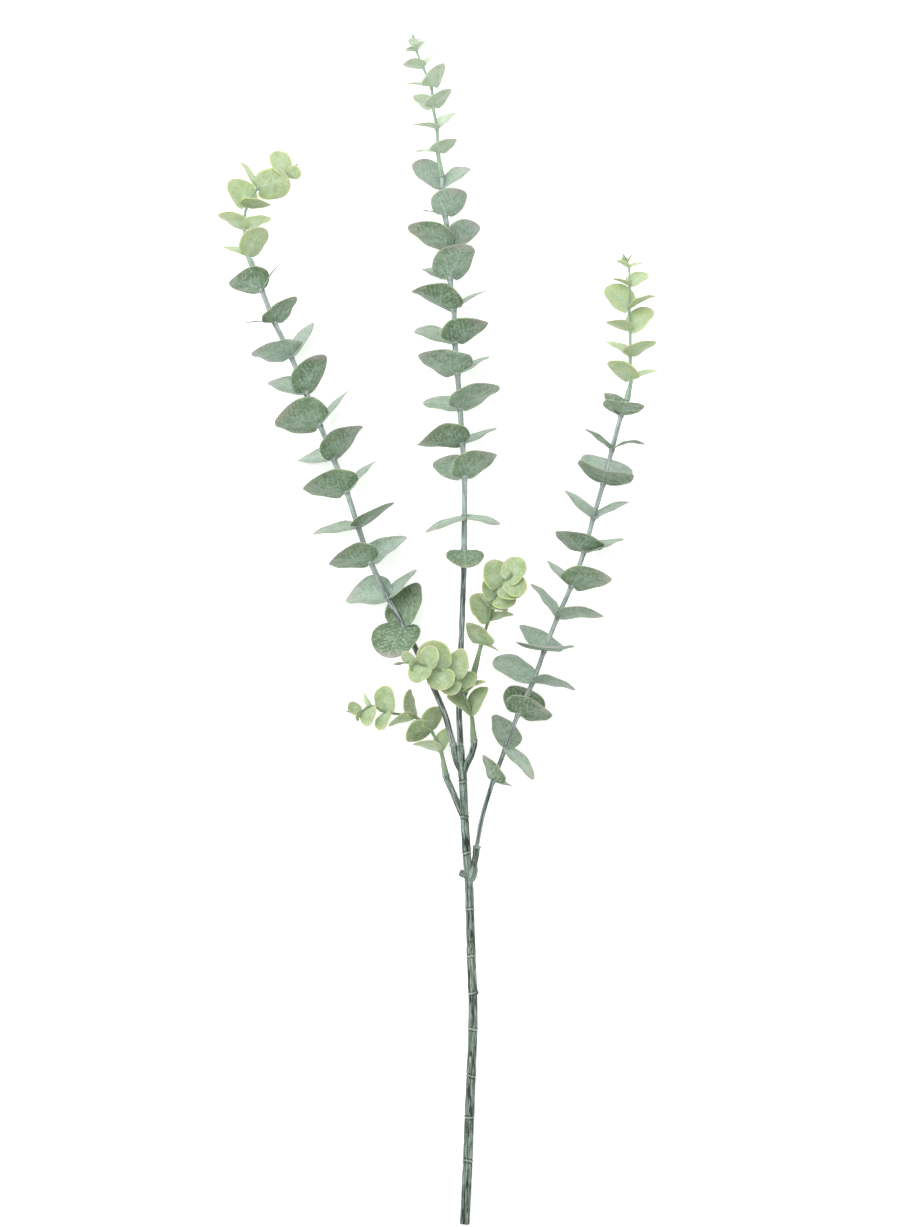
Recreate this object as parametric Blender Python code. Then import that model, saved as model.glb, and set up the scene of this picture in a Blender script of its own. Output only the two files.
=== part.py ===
"""A moulded eucalyptus branch, cut and laid down on a flat surface.

Metres, +Z up. The branch runs from its cut end at -Y to its leafy tips at +Y, and +X is to its
right as one looks down on it. The rows of places below are in millimetres.
"""

import math
from dataclasses import dataclass

import bmesh
import bpy
from mathutils import Vector

MM = 0.001

# Stems
TRUNK_SIDES = 10
STEM_SIDES = 7
TWIG_SIDES = 6
TRUNK_END_RADIUS = 3.5
TRUNK_FORK_RADIUS = 2.7
STUB_RADIUS = 2.2
FROND_BASE_RADIUS = 2.2
RIGHT_FROND_BASE_RADIUS = 1.9
FROND_END_RADIUS = 1.6
RING_RAISE = 0.4
RING_HALF_LENGTH = 0.6
RING_SLOPE = 0.7
TIP_RADIUS = 0.45

# Plug joints, where a leafy stem is pushed onto the stem that carries it
JOINT_GAP = 0.3
PEG_RADIUS = 1.1
PEG_LENGTH = 6.0
PEG_ROOT = 2.0
SOCKET_RADIUS = 1.55
SOCKET_DEPTH = 6.6
SOCKET_OVERSHOOT = 1.0
STRAIGHT_BELOW_JOINT = 4.0
STRAIGHT_ABOVE_JOINT = 7.5
SLEEVE_MOUTH_RADIUS = 2.8
SLEEVE_MIDDLE_RADIUS = 2.4
SLEEVE_END_RADIUS = 1.6

# Blades, whose widths are shares of their lengths
FROND_LEAF_WIDTH = 1.18
SPRIG_LEAF_WIDTH = 1.0
BLADE_THICKNESS = 0.7
BLADE_ARCH = 0.035
BLADE_CUP = 0.08
BLADE_WIDEST = 0.35
BLADE_BASE_SHARE = 0.07
BLADE_TIP_POWER = 0.6
BLADE_ROOT_START = 0.2
BLADE_STATIONS = (0.0, 0.09, 0.3, 0.58, 0.84)
SMALL_BLADE = 20.0
SMALL_BLADE_STATIONS = (0.0, 0.14, 0.42, 0.78)
CURVE_STEPS = 2


@dataclass(frozen=True)
class Finish:
    """The plain finish of a node: its colour, roughness and how metallic it is."""

    name: str
    colour: tuple[float, float, float, float]
    roughness: float
    metallic: float = 0.0


@dataclass(frozen=True)
class LeafPair:
    """Two opposite leaves: their node on the stem, and each leaf's tip from that node and its roll.

    A leaf is (x, y, z, roll). The roll, in degrees, turns the blade from lying square across the
    stem towards lying flat.
    """

    node: tuple[float, float, float]
    first: tuple[float, float, float, float]
    second: tuple[float, float, float, float]


@dataclass(frozen=True)
class Spray:
    """A leafy stem: what it starts from, its leaf pairs, and the stretch past the last pair."""

    name: str
    finish: Finish
    lead: tuple[tuple[float, float, float], ...]
    pairs: tuple[LeafPair, ...]
    end: tuple[tuple[float, float, float], ...]
    base_radius: float
    end_radius: float
    leaf_width: float
    plugs_on: bool


BARK = Finish("bark_green", (0.16, 0.21, 0.17, 1.0), 0.7)
GREY_GREEN = Finish("grey_green_leaf", (0.24, 0.33, 0.24, 1.0), 0.6)
YELLOW_GREEN = Finish("yellow_green_leaf", (0.42, 0.52, 0.24, 1.0), 0.55)

# The trunk and its side stubs
TRUNK_ROUTE = (
    (19.8, -476.4, 3.4),
    (22.1, -425.6, 6.7),
    (23.4, -391.2, 9.0),
    (24.8, -359.2, 11.1),
    (26.2, -320.8, 13.6),
    (26.2, -291.2, 15.5),
    (25.0, -262.4, 17.4),
    (23.8, -224.0, 19.9),
    (23.2, -204.8, 21.2),
    (21.3, -179.2, 22.9),
    (19.5, -150.4, 24.8),
    (18.4, -121.6, 26.6),
    (17.1, -108.0, 27.5),
)
RING_PLACES = (-426.0, -391.6, -359.2, -320.8, -291.6, -262.8, -224.6, -179.7, -150.4, -121.6)
LEFT_STUB = ((17.0, -113.0, 27.2), (13.8, -107.0, 27.6), (11.4, -98.4, 27.7))
RIGHT_STUB = ((23.4, -207.0, 20.8), (27.2, -196.5, 21.5), (28.0, -188.0, 22.0), (28.8, -181.0, 22.3))
SIDE_TWIG = ((18.8, -150.0, 24.8), (15.0, -142.0, 24.0), (9.6, -129.0, 22.0))
FORK_TWIG = ((18.2, -117.0, 26.8), (21.0, -109.0, 28.0), (25.2, -100.0, 29.4))
KNOB = ((23.0, -199.5, 21.4), (15.6, -196.4, 22.4))
NUB = ((26.2, -291.2, 15.5), (30.3, -290.4, 16.0))
KNOB_RADIUS = 2.5
NUB_RADIUS = 1.3
SIDE_RING = 0.5

# Where each leafy stem meets the stem that carries it
LEFT_JOINT = (10.3, -91.5, 27.7)
CENTRE_JOINT = (16.4, -92.8, 28.5)
RIGHT_JOINT = (29.5, -173.5, 22.8)
LEFT_SHOOT_JOINT = (4.6, -116.3, 19.6)
FRONT_SHOOT_JOINT = (27.0, -88.3, 31.2)
RIGHT_SHOOT_JOINT = (27.0, -35.2, 33.0)
LEFT_TIP_JOINT = (-149.0, 288.0, 23.0)
CENTRE_TIP_JOINT = (1.0, 361.0, 25.5)
RIGHT_TIP_JOINT = (149.5, 182.5, 25.5)

LEFT_FROND = Spray(
    "left_frond",
    GREY_GREEN,
    (LEFT_JOINT, (4.0, -68.8, 27.8), (-3.2, -51.2, 28.0), (-12.0, -32.8, 28.5), (-19.7, -15.2, 29.0)),
    (
        LeafPair((-29.5, 2.5, 29.5), (9, 34, -12, 24), (-11.5, -25, 24, 36)),
        LeafPair((-41.5, 25, 30), (-32, 1.5, -14, 14), (20.5, 22, 6, -3)),
        LeafPair((-55.5, 53.5, 31), (-31.5, 0, 21, 12), (27.5, 22, -10, 12)),
        LeafPair((-65.5, 82, 31), (28.5, 19, 8, 0), (-36.5, -6, -4, 0)),
        LeafPair((-74.5, 109.5, 31), (-33.5, 5, 20, 12), (22.5, 25, -6, -4)),
        LeafPair((-85, 136, 31), (22.5, 24, 16, 5), (-26.5, 1, -31, 6)),
        LeafPair((-96, 163, 30.5), (-34, 7.5, 19, 20), (22.5, 27.5, -6, -4)),
        LeafPair((-107, 188.5, 29.5), (15, 30, 14, 0), (-29, 10, -16, 5)),
        LeafPair((-119, 217.5, 28), (-30.5, 2.5, 21, 4), (17.5, 27, -8, -4)),
        LeafPair((-132, 244.5, 26.5), (14.5, 22, 12, 8), (-24, 0.5, -6, 0)),
        LeafPair((-142.5, 271, 24.5), (-24, 8, 16, 6), (14, 21, -7, -3)),
    ),
    (LEFT_TIP_JOINT,),
    base_radius=FROND_BASE_RADIUS,
    end_radius=FROND_END_RADIUS,
    leaf_width=FROND_LEAF_WIDTH,
    plugs_on=False,
)
CENTRE_FROND = Spray(
    "centre_frond",
    GREY_GREEN,
    (
        CENTRE_JOINT,
        (15.2, -64.0, 28.3),
        (16.0, -40.0, 28.5),
        (16.8, -12.8, 29.0),
        (18.0, 18.0, 29.0),
        (19.0, 48.0, 29.0),
    ),
    (
        LeafPair((19.2, 62.5, 29), (2, -14.5, 24, 0), (-2, -9, -24, 0)),
        LeafPair((19.5, 89.5, 30), (-31, -12, 4, 0), (29, -8, -4, 0)),
        LeafPair((19.5, 121.5, 30.5), (24, 18, 19, 10), (-23.5, 14, -19, 8)),
        LeafPair((18, 148, 31), (-35, 1, 18, 22), (26.5, 13, -10, -4)),
        LeafPair((16, 176, 31), (32, 17.5, 12, 13), (-28, 5, -12, 0)),
        LeafPair((14, 204, 31), (-29.5, 16, 19, 14), (24.5, 14, -12, 0)),
        LeafPair((12, 229, 30.5), (25, 16.5, 19, 8), (-31, 10.5, -8, 2)),
        LeafPair((11, 255, 30), (-33, 17.5, 13, 8), (26.5, 15, -10, -4)),
        LeafPair((8, 280, 29), (10.5, 27, 14, 5), (-21, 8, -17, 3)),
        LeafPair((8, 305, 28), (-33, 17, -4, 14), (22, 20, 8, 8)),
        LeafPair((4, 331, 27), (13, 19.5, 12, 26), (-17, 4, -14, 0)),
        LeafPair((1.5, 353, 26), (-20, 20, -4, 16), (22.5, 13.5, -4, 10)),
    ),
    (CENTRE_TIP_JOINT,),
    base_radius=FROND_BASE_RADIUS,
    end_radius=FROND_END_RADIUS,
    leaf_width=FROND_LEAF_WIDTH,
    plugs_on=False,
)
RIGHT_FROND = Spray(
    "right_frond",
    GREY_GREEN,
    (RIGHT_JOINT, (32.5, -156.0, 23.6), (35.7, -142.8, 24.4), (40.3, -128.0, 25.6)),
    (
        LeafPair((42.5, -121.3, 26.2), (-7, 20.5, 10, 0), (14.5, -4, -8, 0)),
        LeafPair((52.5, -94.5, 27.5), (-8.5, 26, -12, 5), (22.5, -25.5, 4, -12)),
        LeafPair((62.5, -68, 28.5), (24, 4, 20, 25), (-9, 19.5, -18, 0)),
        LeafPair((74.5, -41.5, 29), (-30, 18, -8, 22), (33.5, -6.5, 4, 2)),
        LeafPair((83.5, -17, 29.5), (2, 3, 38, -20), (-17.5, 19, -22, 0)),
        LeafPair((94, 9.5, 30), (-21, 27, -4, 0), (37, 0.5, 4, 0)),
        LeafPair((105, 34.5, 30), (31, 7, 16, 9), (-17.5, 19.5, -15, 0)),
        LeafPair((115, 61.5, 30), (-20.5, 17.5, 26, 8), (31.5, 10, -8, -2)),
        LeafPair((122.5, 89, 29.5), (-21.5, 22, -12, 10), (28, 13, 3, -2)),
        LeafPair((130.5, 116.5, 29), (1, 9.5, 38, 0), (2, 17, -31, 0)),
        LeafPair((137.5, 143.5, 28), (-21.5, 16.5, 2, 0), (26.5, 4.5, -2, 0)),
        LeafPair((145, 171.5, 26.5), (3, 9.5, 27, 0), (-9, 15, -20, 0)),
    ),
    (RIGHT_TIP_JOINT,),
    base_radius=RIGHT_FROND_BASE_RADIUS,
    end_radius=FROND_END_RADIUS,
    leaf_width=FROND_LEAF_WIDTH,
    plugs_on=False,
)
LEFT_TIP = Spray(
    "left_tip",
    YELLOW_GREEN,
    (LEFT_TIP_JOINT,),
    (
        LeafPair((-153.5, 298.5, 22.5), (14, 20, 8, 25), (-17.5, 5.5, -10, 0)),
        LeafPair((-156.5, 320, 22), (-19.5, 12, 9, 12), (21, 8, -7, 14)),
        LeafPair((-154.5, 337.5, 22), (-13, 20, -9, 22), (19, 2.5, 12, 10)),
        LeafPair((-145.5, 352, 22.5), (-14, 19.5, -5, -4), (27, 2, 6, 50)),
        LeafPair((-121.5, 366.5, 23.5), (-14, 13, 2, 60), (10, -5, 4, 45)),
    ),
    ((-112.5, 373.5, 24.0),),
    base_radius=SLEEVE_END_RADIUS,
    end_radius=TIP_RADIUS,
    leaf_width=SPRIG_LEAF_WIDTH,
    plugs_on=True,
)
CENTRE_TIP = Spray(
    "centre_tip",
    YELLOW_GREEN,
    (CENTRE_TIP_JOINT,),
    (
        LeafPair((-1.5, 381, 24.5), (15, 10.5, 12, 12), (-17.5, 1, -12, 0)),
        LeafPair((-2.5, 400, 24), (14.5, 13, -7, 14), (-19.5, 2.5, 4, 0)),
        LeafPair((-5.5, 417, 23.5), (15, 15, 9, 20), (-16.5, 8, -6, 30)),
        LeafPair((-7, 433.5, 23), (10, 18.5, 7, 25), (-21.5, 1.5, -3, 0)),
        LeafPair((-13.5, 449, 22.5), (-16, 2.5, 8, 20), (8.5, 11, -7, 0)),
        LeafPair((-19, 462.5, 22), (-8, 1, 5, 10), (6.5, 8, -5, 0)),
    ),
    ((-22.0, 476.0, 22.0),),
    base_radius=SLEEVE_END_RADIUS,
    end_radius=TIP_RADIUS,
    leaf_width=SPRIG_LEAF_WIDTH,
    plugs_on=True,
)
RIGHT_TIP = Spray(
    "right_tip",
    YELLOW_GREEN,
    (RIGHT_TIP_JOINT,),
    (
        LeafPair((152.5, 199, 25), (-18, 14, 10, 12), (21.5, 8, -6, 8)),
        LeafPair((152, 219, 24), (-19.5, 9, -7, 5), (21.5, 9.5, 8, 18)),
        LeafPair((152, 238.5, 23), (-18.5, 7, 10, 8), (18.5, 16, -4, 40)),
        LeafPair((151, 256, 22), (-20, 16, -4, 45), (21, 10.5, 2, -5)),
        LeafPair((151.5, 274.5, 21), (15, 10.5, -7, 28), (-14, 5.5, 4, 0)),
        LeafPair((151, 289, 20.5), (-9.5, 5.5, 3, 0), (10.5, 3.5, -3, 0)),
    ),
    ((146.0, 300.5, 20.0),),
    base_radius=SLEEVE_END_RADIUS,
    end_radius=TIP_RADIUS,
    leaf_width=SPRIG_LEAF_WIDTH,
    plugs_on=True,
)
LEFT_SHOOT = Spray(
    "left_shoot",
    YELLOW_GREEN,
    (LEFT_SHOOT_JOINT,),
    (
        LeafPair((0.5, -97.5, 17.5), (-22, 6, 6, 5), (5.5, 19, -8, 25)),
        LeafPair((-8, -80, 17), (-19.5, -6.5, 7, 20), (7, 18, 4, 20)),
        LeafPair((-20, -70.5, 17.5), (-6.5, 21.5, 4, 12), (-21, -6.5, 5, 8)),
        LeafPair((-43, -66.5, 19), (1, 21, 6, 50), (-4, -13.5, 10, 20)),
        LeafPair((-55, -61.5, 20.5), (-6, 10, -6, 0), (-3, -16, 5, 40)),
        LeafPair((-63.5, -65.5, 21.5), (-8.5, 5.5, 3, 30), (-3, -8, 3, 20)),
    ),
    ((-75.0, -66.0, 22.0),),
    base_radius=SLEEVE_END_RADIUS,
    end_radius=TIP_RADIUS,
    leaf_width=SPRIG_LEAF_WIDTH,
    plugs_on=True,
)
FRONT_SHOOT = Spray(
    "front_shoot",
    YELLOW_GREEN,
    (FRONT_SHOOT_JOINT,),
    (
        LeafPair((24.8, -67.2, 41), (-19, 13.5, 6, 20), (13.5, 19, 6, 12)),
        LeafPair((17.5, -49, 47), (14.5, 8, -2, 0), (-12, -3, 8, 10)),
        LeafPair((12, -40, 52), (6.5, 21.5, -6, 40), (-9.5, -10, 10, 40)),
        LeafPair((0, -33, 59), (-5, 23, 4, 50), (-3, -15, 7, 50)),
        LeafPair((-10.5, -29.5, 64), (5, 15, 6, 40), (-10, -13, 6, 50)),
        LeafPair((-21, -26.5, 67), (-7, 6.5, 3, 30), (-3, -6, 4, 30)),
    ),
    ((-37.0, -28.0, 69.0),),
    base_radius=SLEEVE_END_RADIUS,
    end_radius=TIP_RADIUS,
    leaf_width=SPRIG_LEAF_WIDTH,
    plugs_on=True,
)
RIGHT_SHOOT = Spray(
    "right_shoot",
    YELLOW_GREEN,
    (RIGHT_SHOOT_JOINT,),
    (
        LeafPair((33, -12, 37), (-11.5, 16.5, 13, 15), (14, -5.5, -5, -5)),
        LeafPair((38.5, 6.5, 41), (-12, 18, 4, 50), (20, 5.5, -4, 0)),
        LeafPair((41, 17.5, 45), (-8.5, 11, -2, 0), (13, -3, 2, 0)),
        LeafPair((43, 24, 48.5), (-4, 17, 3, 45), (17, -3, 5, 40)),
        LeafPair((47, 33.5, 54), (-6.5, 21.5, 2, 45), (22, -1, 6, 35)),
        LeafPair((53, 39, 61), (14, 15, 4, 45), (15, -8, 4, 40)),
    ),
    ((57.0, 45.0, 67.0),),
    base_radius=SLEEVE_END_RADIUS,
    end_radius=TIP_RADIUS,
    leaf_width=SPRIG_LEAF_WIDTH,
    plugs_on=True,
)
SHOOT_TWIG = ((15.6, -62.0, 28.4), (18.5, -55.0, 29.4), (22.6, -45.5, 31.0))

SPRIGS = (LEFT_TIP, CENTRE_TIP, RIGHT_TIP, LEFT_SHOOT, FRONT_SHOOT, RIGHT_SHOOT)


def clear_scene():
    """Remove every object, so that the scene holds only the branch."""
    for obj in list(bpy.data.objects):
        bpy.data.objects.remove(obj, do_unlink=True)


def catmull_rom(before, start, end, after, t):
    """One point of the smooth curve between start and end."""
    return 0.5 * (
        2 * start
        + (end - before) * t
        + (2 * before - 5 * start + 4 * end - after) * t * t
        + (3 * start - before - 3 * end + after) * t * t * t
    )


def smooth_route(points, radii, steps=CURVE_STEPS):
    """Points and radii along a smooth curve through the given points, its ends included."""
    route = []
    sizes = []
    last = len(points) - 1
    for index in range(last):
        before = points[max(index - 1, 0)]
        after = points[min(index + 2, last)]
        for step in range(steps):
            t = step / steps
            route.append(catmull_rom(before, points[index], points[index + 1], after, t))
            sizes.append(radii[index] + (radii[index + 1] - radii[index]) * t)
    return route + [points[last]], sizes + [radii[last]]


def stem_route(points, radii, straight_start, straight_end):
    """The smooth curve through the points, but with its first or last stretch left straight."""
    first = 1 if straight_start else 0
    last = len(points) - (1 if straight_end else 0)
    route, sizes = smooth_route(points[first:last], radii[first:last])
    return points[:first] + route + points[last:], radii[:first] + sizes + radii[last:]


def ring_frames(route):
    """Two axes square to the route at each of its points, turned as little as can be."""
    frames = []
    side = None
    for index in range(len(route)):
        along = route[min(index + 1, len(route) - 1)] - route[max(index - 1, 0)]
        along.normalize()
        if side is None:
            side = along.cross(Vector((0.0, 0.0, 1.0)))
        side = (side - along * side.dot(along)).normalized()
        frames.append((side, side.cross(along)))
    return frames


def mesh_object(name, points, faces):
    """A mesh object from points in millimetres, with its faces turned outwards."""
    mesh = bpy.data.meshes.new(name)
    mesh.from_pydata([point * MM for point in points], [], faces)
    shape = bmesh.new()
    shape.from_mesh(mesh)
    bmesh.ops.recalc_face_normals(shape, faces=shape.faces)
    shape.to_mesh(mesh)
    shape.free()
    obj = bpy.data.objects.new(name, mesh)
    bpy.context.scene.collection.objects.link(obj)
    return obj


def tube(route, radii, sides):
    """A closed round bar along the route, pressed flat where it would pass below the surface."""
    points = []
    for centre, radius, (side, up) in zip(route, radii, ring_frames(route)):
        for corner in range(sides):
            angle = 2 * math.pi * (corner + 0.5) / sides
            point = centre + side * (radius * math.cos(angle)) + up * (radius * math.sin(angle))
            point.z = max(point.z, 0.0)
            points.append(point)
    faces = [tuple(range(sides)), tuple(range(len(points) - sides, len(points)))]
    for ring in range(len(route) - 1):
        for corner in range(sides):
            a = ring * sides + corner
            b = ring * sides + (corner + 1) % sides
            faces.append((a, b, b + sides, a + sides))
    return mesh_object("tube", points, faces)


def straight_bar(start, direction, length, radius, sides=STEM_SIDES):
    """A closed straight bar."""
    return tube([start, start + direction * length], [radius, radius], sides)


def blade_half_width(u):
    """The blade's half width at u along it, as a share of its greatest."""
    if u < BLADE_WIDEST:
        rise = math.sqrt(1 - (1 - u / BLADE_WIDEST) ** 2)
        return BLADE_BASE_SHARE + (1 - BLADE_BASE_SHARE) * rise
    return (1 - ((u - BLADE_WIDEST) / (1 - BLADE_WIDEST)) ** 2) ** BLADE_TIP_POWER


def blade_axes(tangent, reach, roll):
    """The blade's own axes: along it, across it, and out of its inner face."""
    along = reach.normalized()
    across = tangent.cross(along).normalized()
    inner = along.cross(across)
    turn = math.radians(roll) * (-1 if across.z * inner.z > 0 else 1)
    across = across * math.cos(turn) + inner * math.sin(turn)
    return along, across, along.cross(across)


def blade(node, tangent, leaf, width_share):
    """One leaf, as a closed thin shell that is arched along, cupped across and pointed."""
    reach = Vector(leaf[:3])
    length = reach.length
    along, across, inner = blade_axes(tangent, reach, leaf[3])
    root = node + along * BLADE_ROOT_START
    points = []

    def add_pair(u, v):
        reach_across = v * blade_half_width(u) * length * width_share / 2
        dip = BLADE_CUP * length * width_share * (v * blade_half_width(u)) ** 2
        middle = (
            root
            + along * (length * u)
            + across * reach_across
            + inner * (BLADE_ARCH * length * math.sin(math.pi * u) + dip)
        )
        half = inner * (BLADE_THICKNESS / 2)
        low = min((middle - half).z, (middle + half).z)
        lift = Vector((0.0, 0.0, max(-low, 0.0)))
        points.extend((middle + half + lift, middle - half + lift))

    stations = SMALL_BLADE_STATIONS if length < SMALL_BLADE else BLADE_STATIONS
    for u in stations:
        for v in (-1, 0, 1):
            add_pair(u, v)
    add_pair(1.0, 0)

    faces = [(0, 2, 3, 1), (2, 4, 5, 3)]
    for station in range(len(stations) - 1):
        first = station * 6
        for column in (0, 2):
            a = first + column
            b = a + 2
            for face in (0, 1):
                faces.append((a + face, b + face, b + 6 + face))
                faces.append((a + face, b + 6 + face, a + 6 + face))
        for edge in (0, 4):
            a = first + edge
            faces.append((a, a + 1, a + 7, a + 6))
    last = (len(stations) - 1) * 6
    tip = last + 6
    for column in (0, 2):
        for face in (0, 1):
            faces.append((last + column + face, last + column + 2 + face, tip + face))
    for edge in (0, 4):
        faces.append((last + edge, last + edge + 1, tip + 1, tip))
    return mesh_object("blade", points, faces)


def largest_island(mesh):
    """Keep the largest joined surface of the mesh, which drops scraps and fills sealed hollows."""
    shape = bmesh.new()
    shape.from_mesh(mesh)
    unseen = set(shape.faces)
    islands = []
    while unseen:
        front = [unseen.pop()]
        island = set(front)
        while front:
            for edge in front.pop().edges:
                for face in edge.link_faces:
                    if face in unseen:
                        unseen.remove(face)
                        island.add(face)
                        front.append(face)
        islands.append(island)
    islands.sort(key=len)
    loose = [face for island in islands[:-1] for face in island]
    bmesh.ops.delete(shape, geom=loose, context="FACES")
    shape.to_mesh(mesh)
    shape.free()


def combine(body, others, operation):
    """Apply one Boolean of the body with the others, and remove them."""
    group = bpy.data.collections.new("operands")
    bpy.context.scene.collection.children.link(group)
    for other in others:
        bpy.context.scene.collection.objects.unlink(other)
        group.objects.link(other)
    modifier = body.modifiers.new(operation.lower(), "BOOLEAN")
    modifier.operation = operation
    modifier.operand_type = "COLLECTION"
    modifier.collection = group
    modifier.solver = "EXACT"
    graph = bpy.context.evaluated_depsgraph_get()
    mesh = bpy.data.meshes.new_from_object(body.evaluated_get(graph))
    body.modifiers.clear()
    body.data = mesh
    for other in others:
        bpy.data.objects.remove(other, do_unlink=True)
    bpy.data.collections.remove(group)


def finish_material(name, finish):
    """The node's own material."""
    material = bpy.data.materials.new(name)
    material.use_nodes = True
    shader = material.node_tree.nodes["Principled BSDF"]
    shader.inputs["Base Color"].default_value = finish.colour
    shader.inputs["Roughness"].default_value = finish.roughness
    shader.inputs["Metallic"].default_value = finish.metallic
    return material


def finished_node(name, finish, pieces, cutters):
    """One node: its pieces fused, its sockets cut, and its material put on."""
    body, *others = pieces
    combine(body, others, "UNION")
    if cutters:
        combine(body, cutters, "DIFFERENCE")
    largest_island(body.data)
    body.name = name
    body.data.name = name
    body.data.materials.clear()
    body.data.materials.append(finish_material(name, finish))
    return body


def vectors(rows):
    """Rows of three numbers as vectors."""
    return [Vector(row) for row in rows]


def joint_direction(spray):
    """The way a leafy stem sets off from its joint."""
    start = Vector(spray.lead[0])
    following = spray.lead[1] if len(spray.lead) > 1 else spray.pairs[0].node
    return (Vector(following) - start).normalized()


def carried_end(route, spray):
    """The route of a stem that ends at the spray's joint, its last stretch in line with the spray."""
    joint = Vector(spray.lead[0])
    return vectors(route) + [joint - joint_direction(spray) * STRAIGHT_BELOW_JOINT, joint]


def peg(spray):
    """The peg of a carrying stem, which the spray's socket is pushed over."""
    direction = joint_direction(spray)
    start = Vector(spray.lead[0]) - direction * PEG_ROOT
    return straight_bar(start, direction, PEG_ROOT + PEG_LENGTH, PEG_RADIUS)


def socket(spray):
    """The cutter of the socket at the spray's foot."""
    direction = joint_direction(spray)
    start = Vector(spray.lead[0]) - direction * SOCKET_OVERSHOOT
    return straight_bar(start, direction, SOCKET_OVERSHOOT + SOCKET_DEPTH, SOCKET_RADIUS)


def stem_piece(spray, carried):
    """The spray's own stem, and the tangent at each of its leaf pairs."""
    direction = joint_direction(spray)
    joint = Vector(spray.lead[0])
    controls = [joint + direction * JOINT_GAP, joint + direction * STRAIGHT_ABOVE_JOINT]
    controls += vectors(spray.lead[1:])
    first_pair = len(controls)
    controls += [Vector(pair.node) for pair in spray.pairs]
    if carried:
        controls = carried_end(controls, carried)
    else:
        controls += vectors(spray.end)
    last = len(controls) - 1
    radii = [
        spray.base_radius + (spray.end_radius - spray.base_radius) * index / last
        for index in range(last + 1)
    ]
    if spray.plugs_on:
        radii[0] = SLEEVE_MOUTH_RADIUS
        radii[1] = SLEEVE_MIDDLE_RADIUS
    tangents = [
        (controls[first_pair + index + 1] - controls[first_pair + index - 1]).normalized()
        for index in range(len(spray.pairs))
    ]
    sides = TWIG_SIDES if spray.plugs_on else STEM_SIDES
    return tube(*stem_route(controls, radii, True, carried is not None), sides), tangents


def side_twig(route, spray, radius):
    """A bare twig with a ring and a peg at its end, ready for the spray that it carries."""
    controls = carried_end(route, spray)
    radii = [radius] * len(controls)
    points, sizes = stem_route(controls, radii, False, True)
    sizes[-2] += SIDE_RING
    sizes[-1] += SIDE_RING
    return [tube(points, sizes, STEM_SIDES), peg(spray)]


def build_spray(spray, carried=None, twigs=()):
    """One leafy stem as a single fused node."""
    stem, tangents = stem_piece(spray, carried)
    pieces = [stem, *twigs]
    if carried:
        pieces.append(peg(carried))
    for pair, tangent in zip(spray.pairs, tangents):
        for leaf in (pair.first, pair.second):
            pieces.append(blade(Vector(pair.node), tangent, leaf, spray.leaf_width))
    return finished_node(spray.name, spray.finish, pieces, [socket(spray)])


def ringed_route(points, radii):
    """The trunk's route with the four stations of each raised ring added to it."""
    stations = list(zip(points, radii))
    for place in RING_PLACES:
        above = next(index for index, (point, _) in enumerate(stations) if point.y > place)
        (start, start_radius), (end, end_radius) = stations[above - 1], stations[above]
        share = (place - start.y) / (end.y - start.y)
        middle = start.lerp(end, share)
        radius = start_radius + (end_radius - start_radius) * share
        along = (end - start).normalized()
        outer = RING_HALF_LENGTH + RING_SLOPE
        ring = [
            (middle - along * outer, radius),
            (middle - along * RING_HALF_LENGTH, radius + RING_RAISE),
            (middle + along * RING_HALF_LENGTH, radius + RING_RAISE),
            (middle + along * outer, radius),
        ]
        clear = [
            station for station in stations if (station[0] - middle).length > outer + RING_SLOPE
        ]
        stations = sorted(clear + ring, key=lambda station: station[0].y)
    return [point for point, _ in stations], [radius for _, radius in stations]


def build_main_stem():
    """The ringed trunk with its fork, side stubs, cut knob and nub, fused into one node."""
    controls = carried_end(TRUNK_ROUTE, CENTRE_FROND)
    last = len(controls) - 1
    radii = [
        TRUNK_END_RADIUS + (TRUNK_FORK_RADIUS - TRUNK_END_RADIUS) * index / last
        for index in range(last + 1)
    ]
    radii[-1] = STUB_RADIUS
    trunk = tube(*ringed_route(*stem_route(controls, radii, False, True)), TRUNK_SIDES)
    pieces = [trunk, peg(CENTRE_FROND)]
    pieces += side_twig(LEFT_STUB, LEFT_FROND, STUB_RADIUS)
    pieces += side_twig(RIGHT_STUB, RIGHT_FROND, STUB_RADIUS)
    pieces += side_twig(SIDE_TWIG, LEFT_SHOOT, STUB_RADIUS)
    pieces += side_twig(FORK_TWIG, FRONT_SHOOT, STUB_RADIUS)
    pieces.append(tube(vectors(KNOB), [TRUNK_FORK_RADIUS, KNOB_RADIUS], STEM_SIDES))
    pieces.append(tube(vectors(NUB), [STUB_RADIUS, NUB_RADIUS], STEM_SIDES))
    return finished_node("main_stem", BARK, pieces, [])


def main():
    """Build the branch, node by node."""
    clear_scene()
    build_main_stem()
    build_spray(LEFT_FROND, carried=LEFT_TIP)
    build_spray(
        CENTRE_FROND, carried=CENTRE_TIP, twigs=side_twig(SHOOT_TWIG, RIGHT_SHOOT, STUB_RADIUS)
    )
    build_spray(RIGHT_FROND, carried=RIGHT_TIP)
    for sprig in SPRIGS:
        build_spray(sprig)


if __name__ == "__main__":
    main()
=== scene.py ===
"""The looks of a moulded eucalyptus branch that lies on a pale surface, seen from straight above.

Rows of places are in millimetres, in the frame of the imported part: +Y runs from the cut end of the
stem to the leafy tips, +X is to the right, and +Z is up.
"""

import logging
import math
from dataclasses import dataclass, field
from enum import Enum
from itertools import accumulate
from typing import ClassVar

import bpy
import numpy as np
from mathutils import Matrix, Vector
from mathutils.noise import noise


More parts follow.
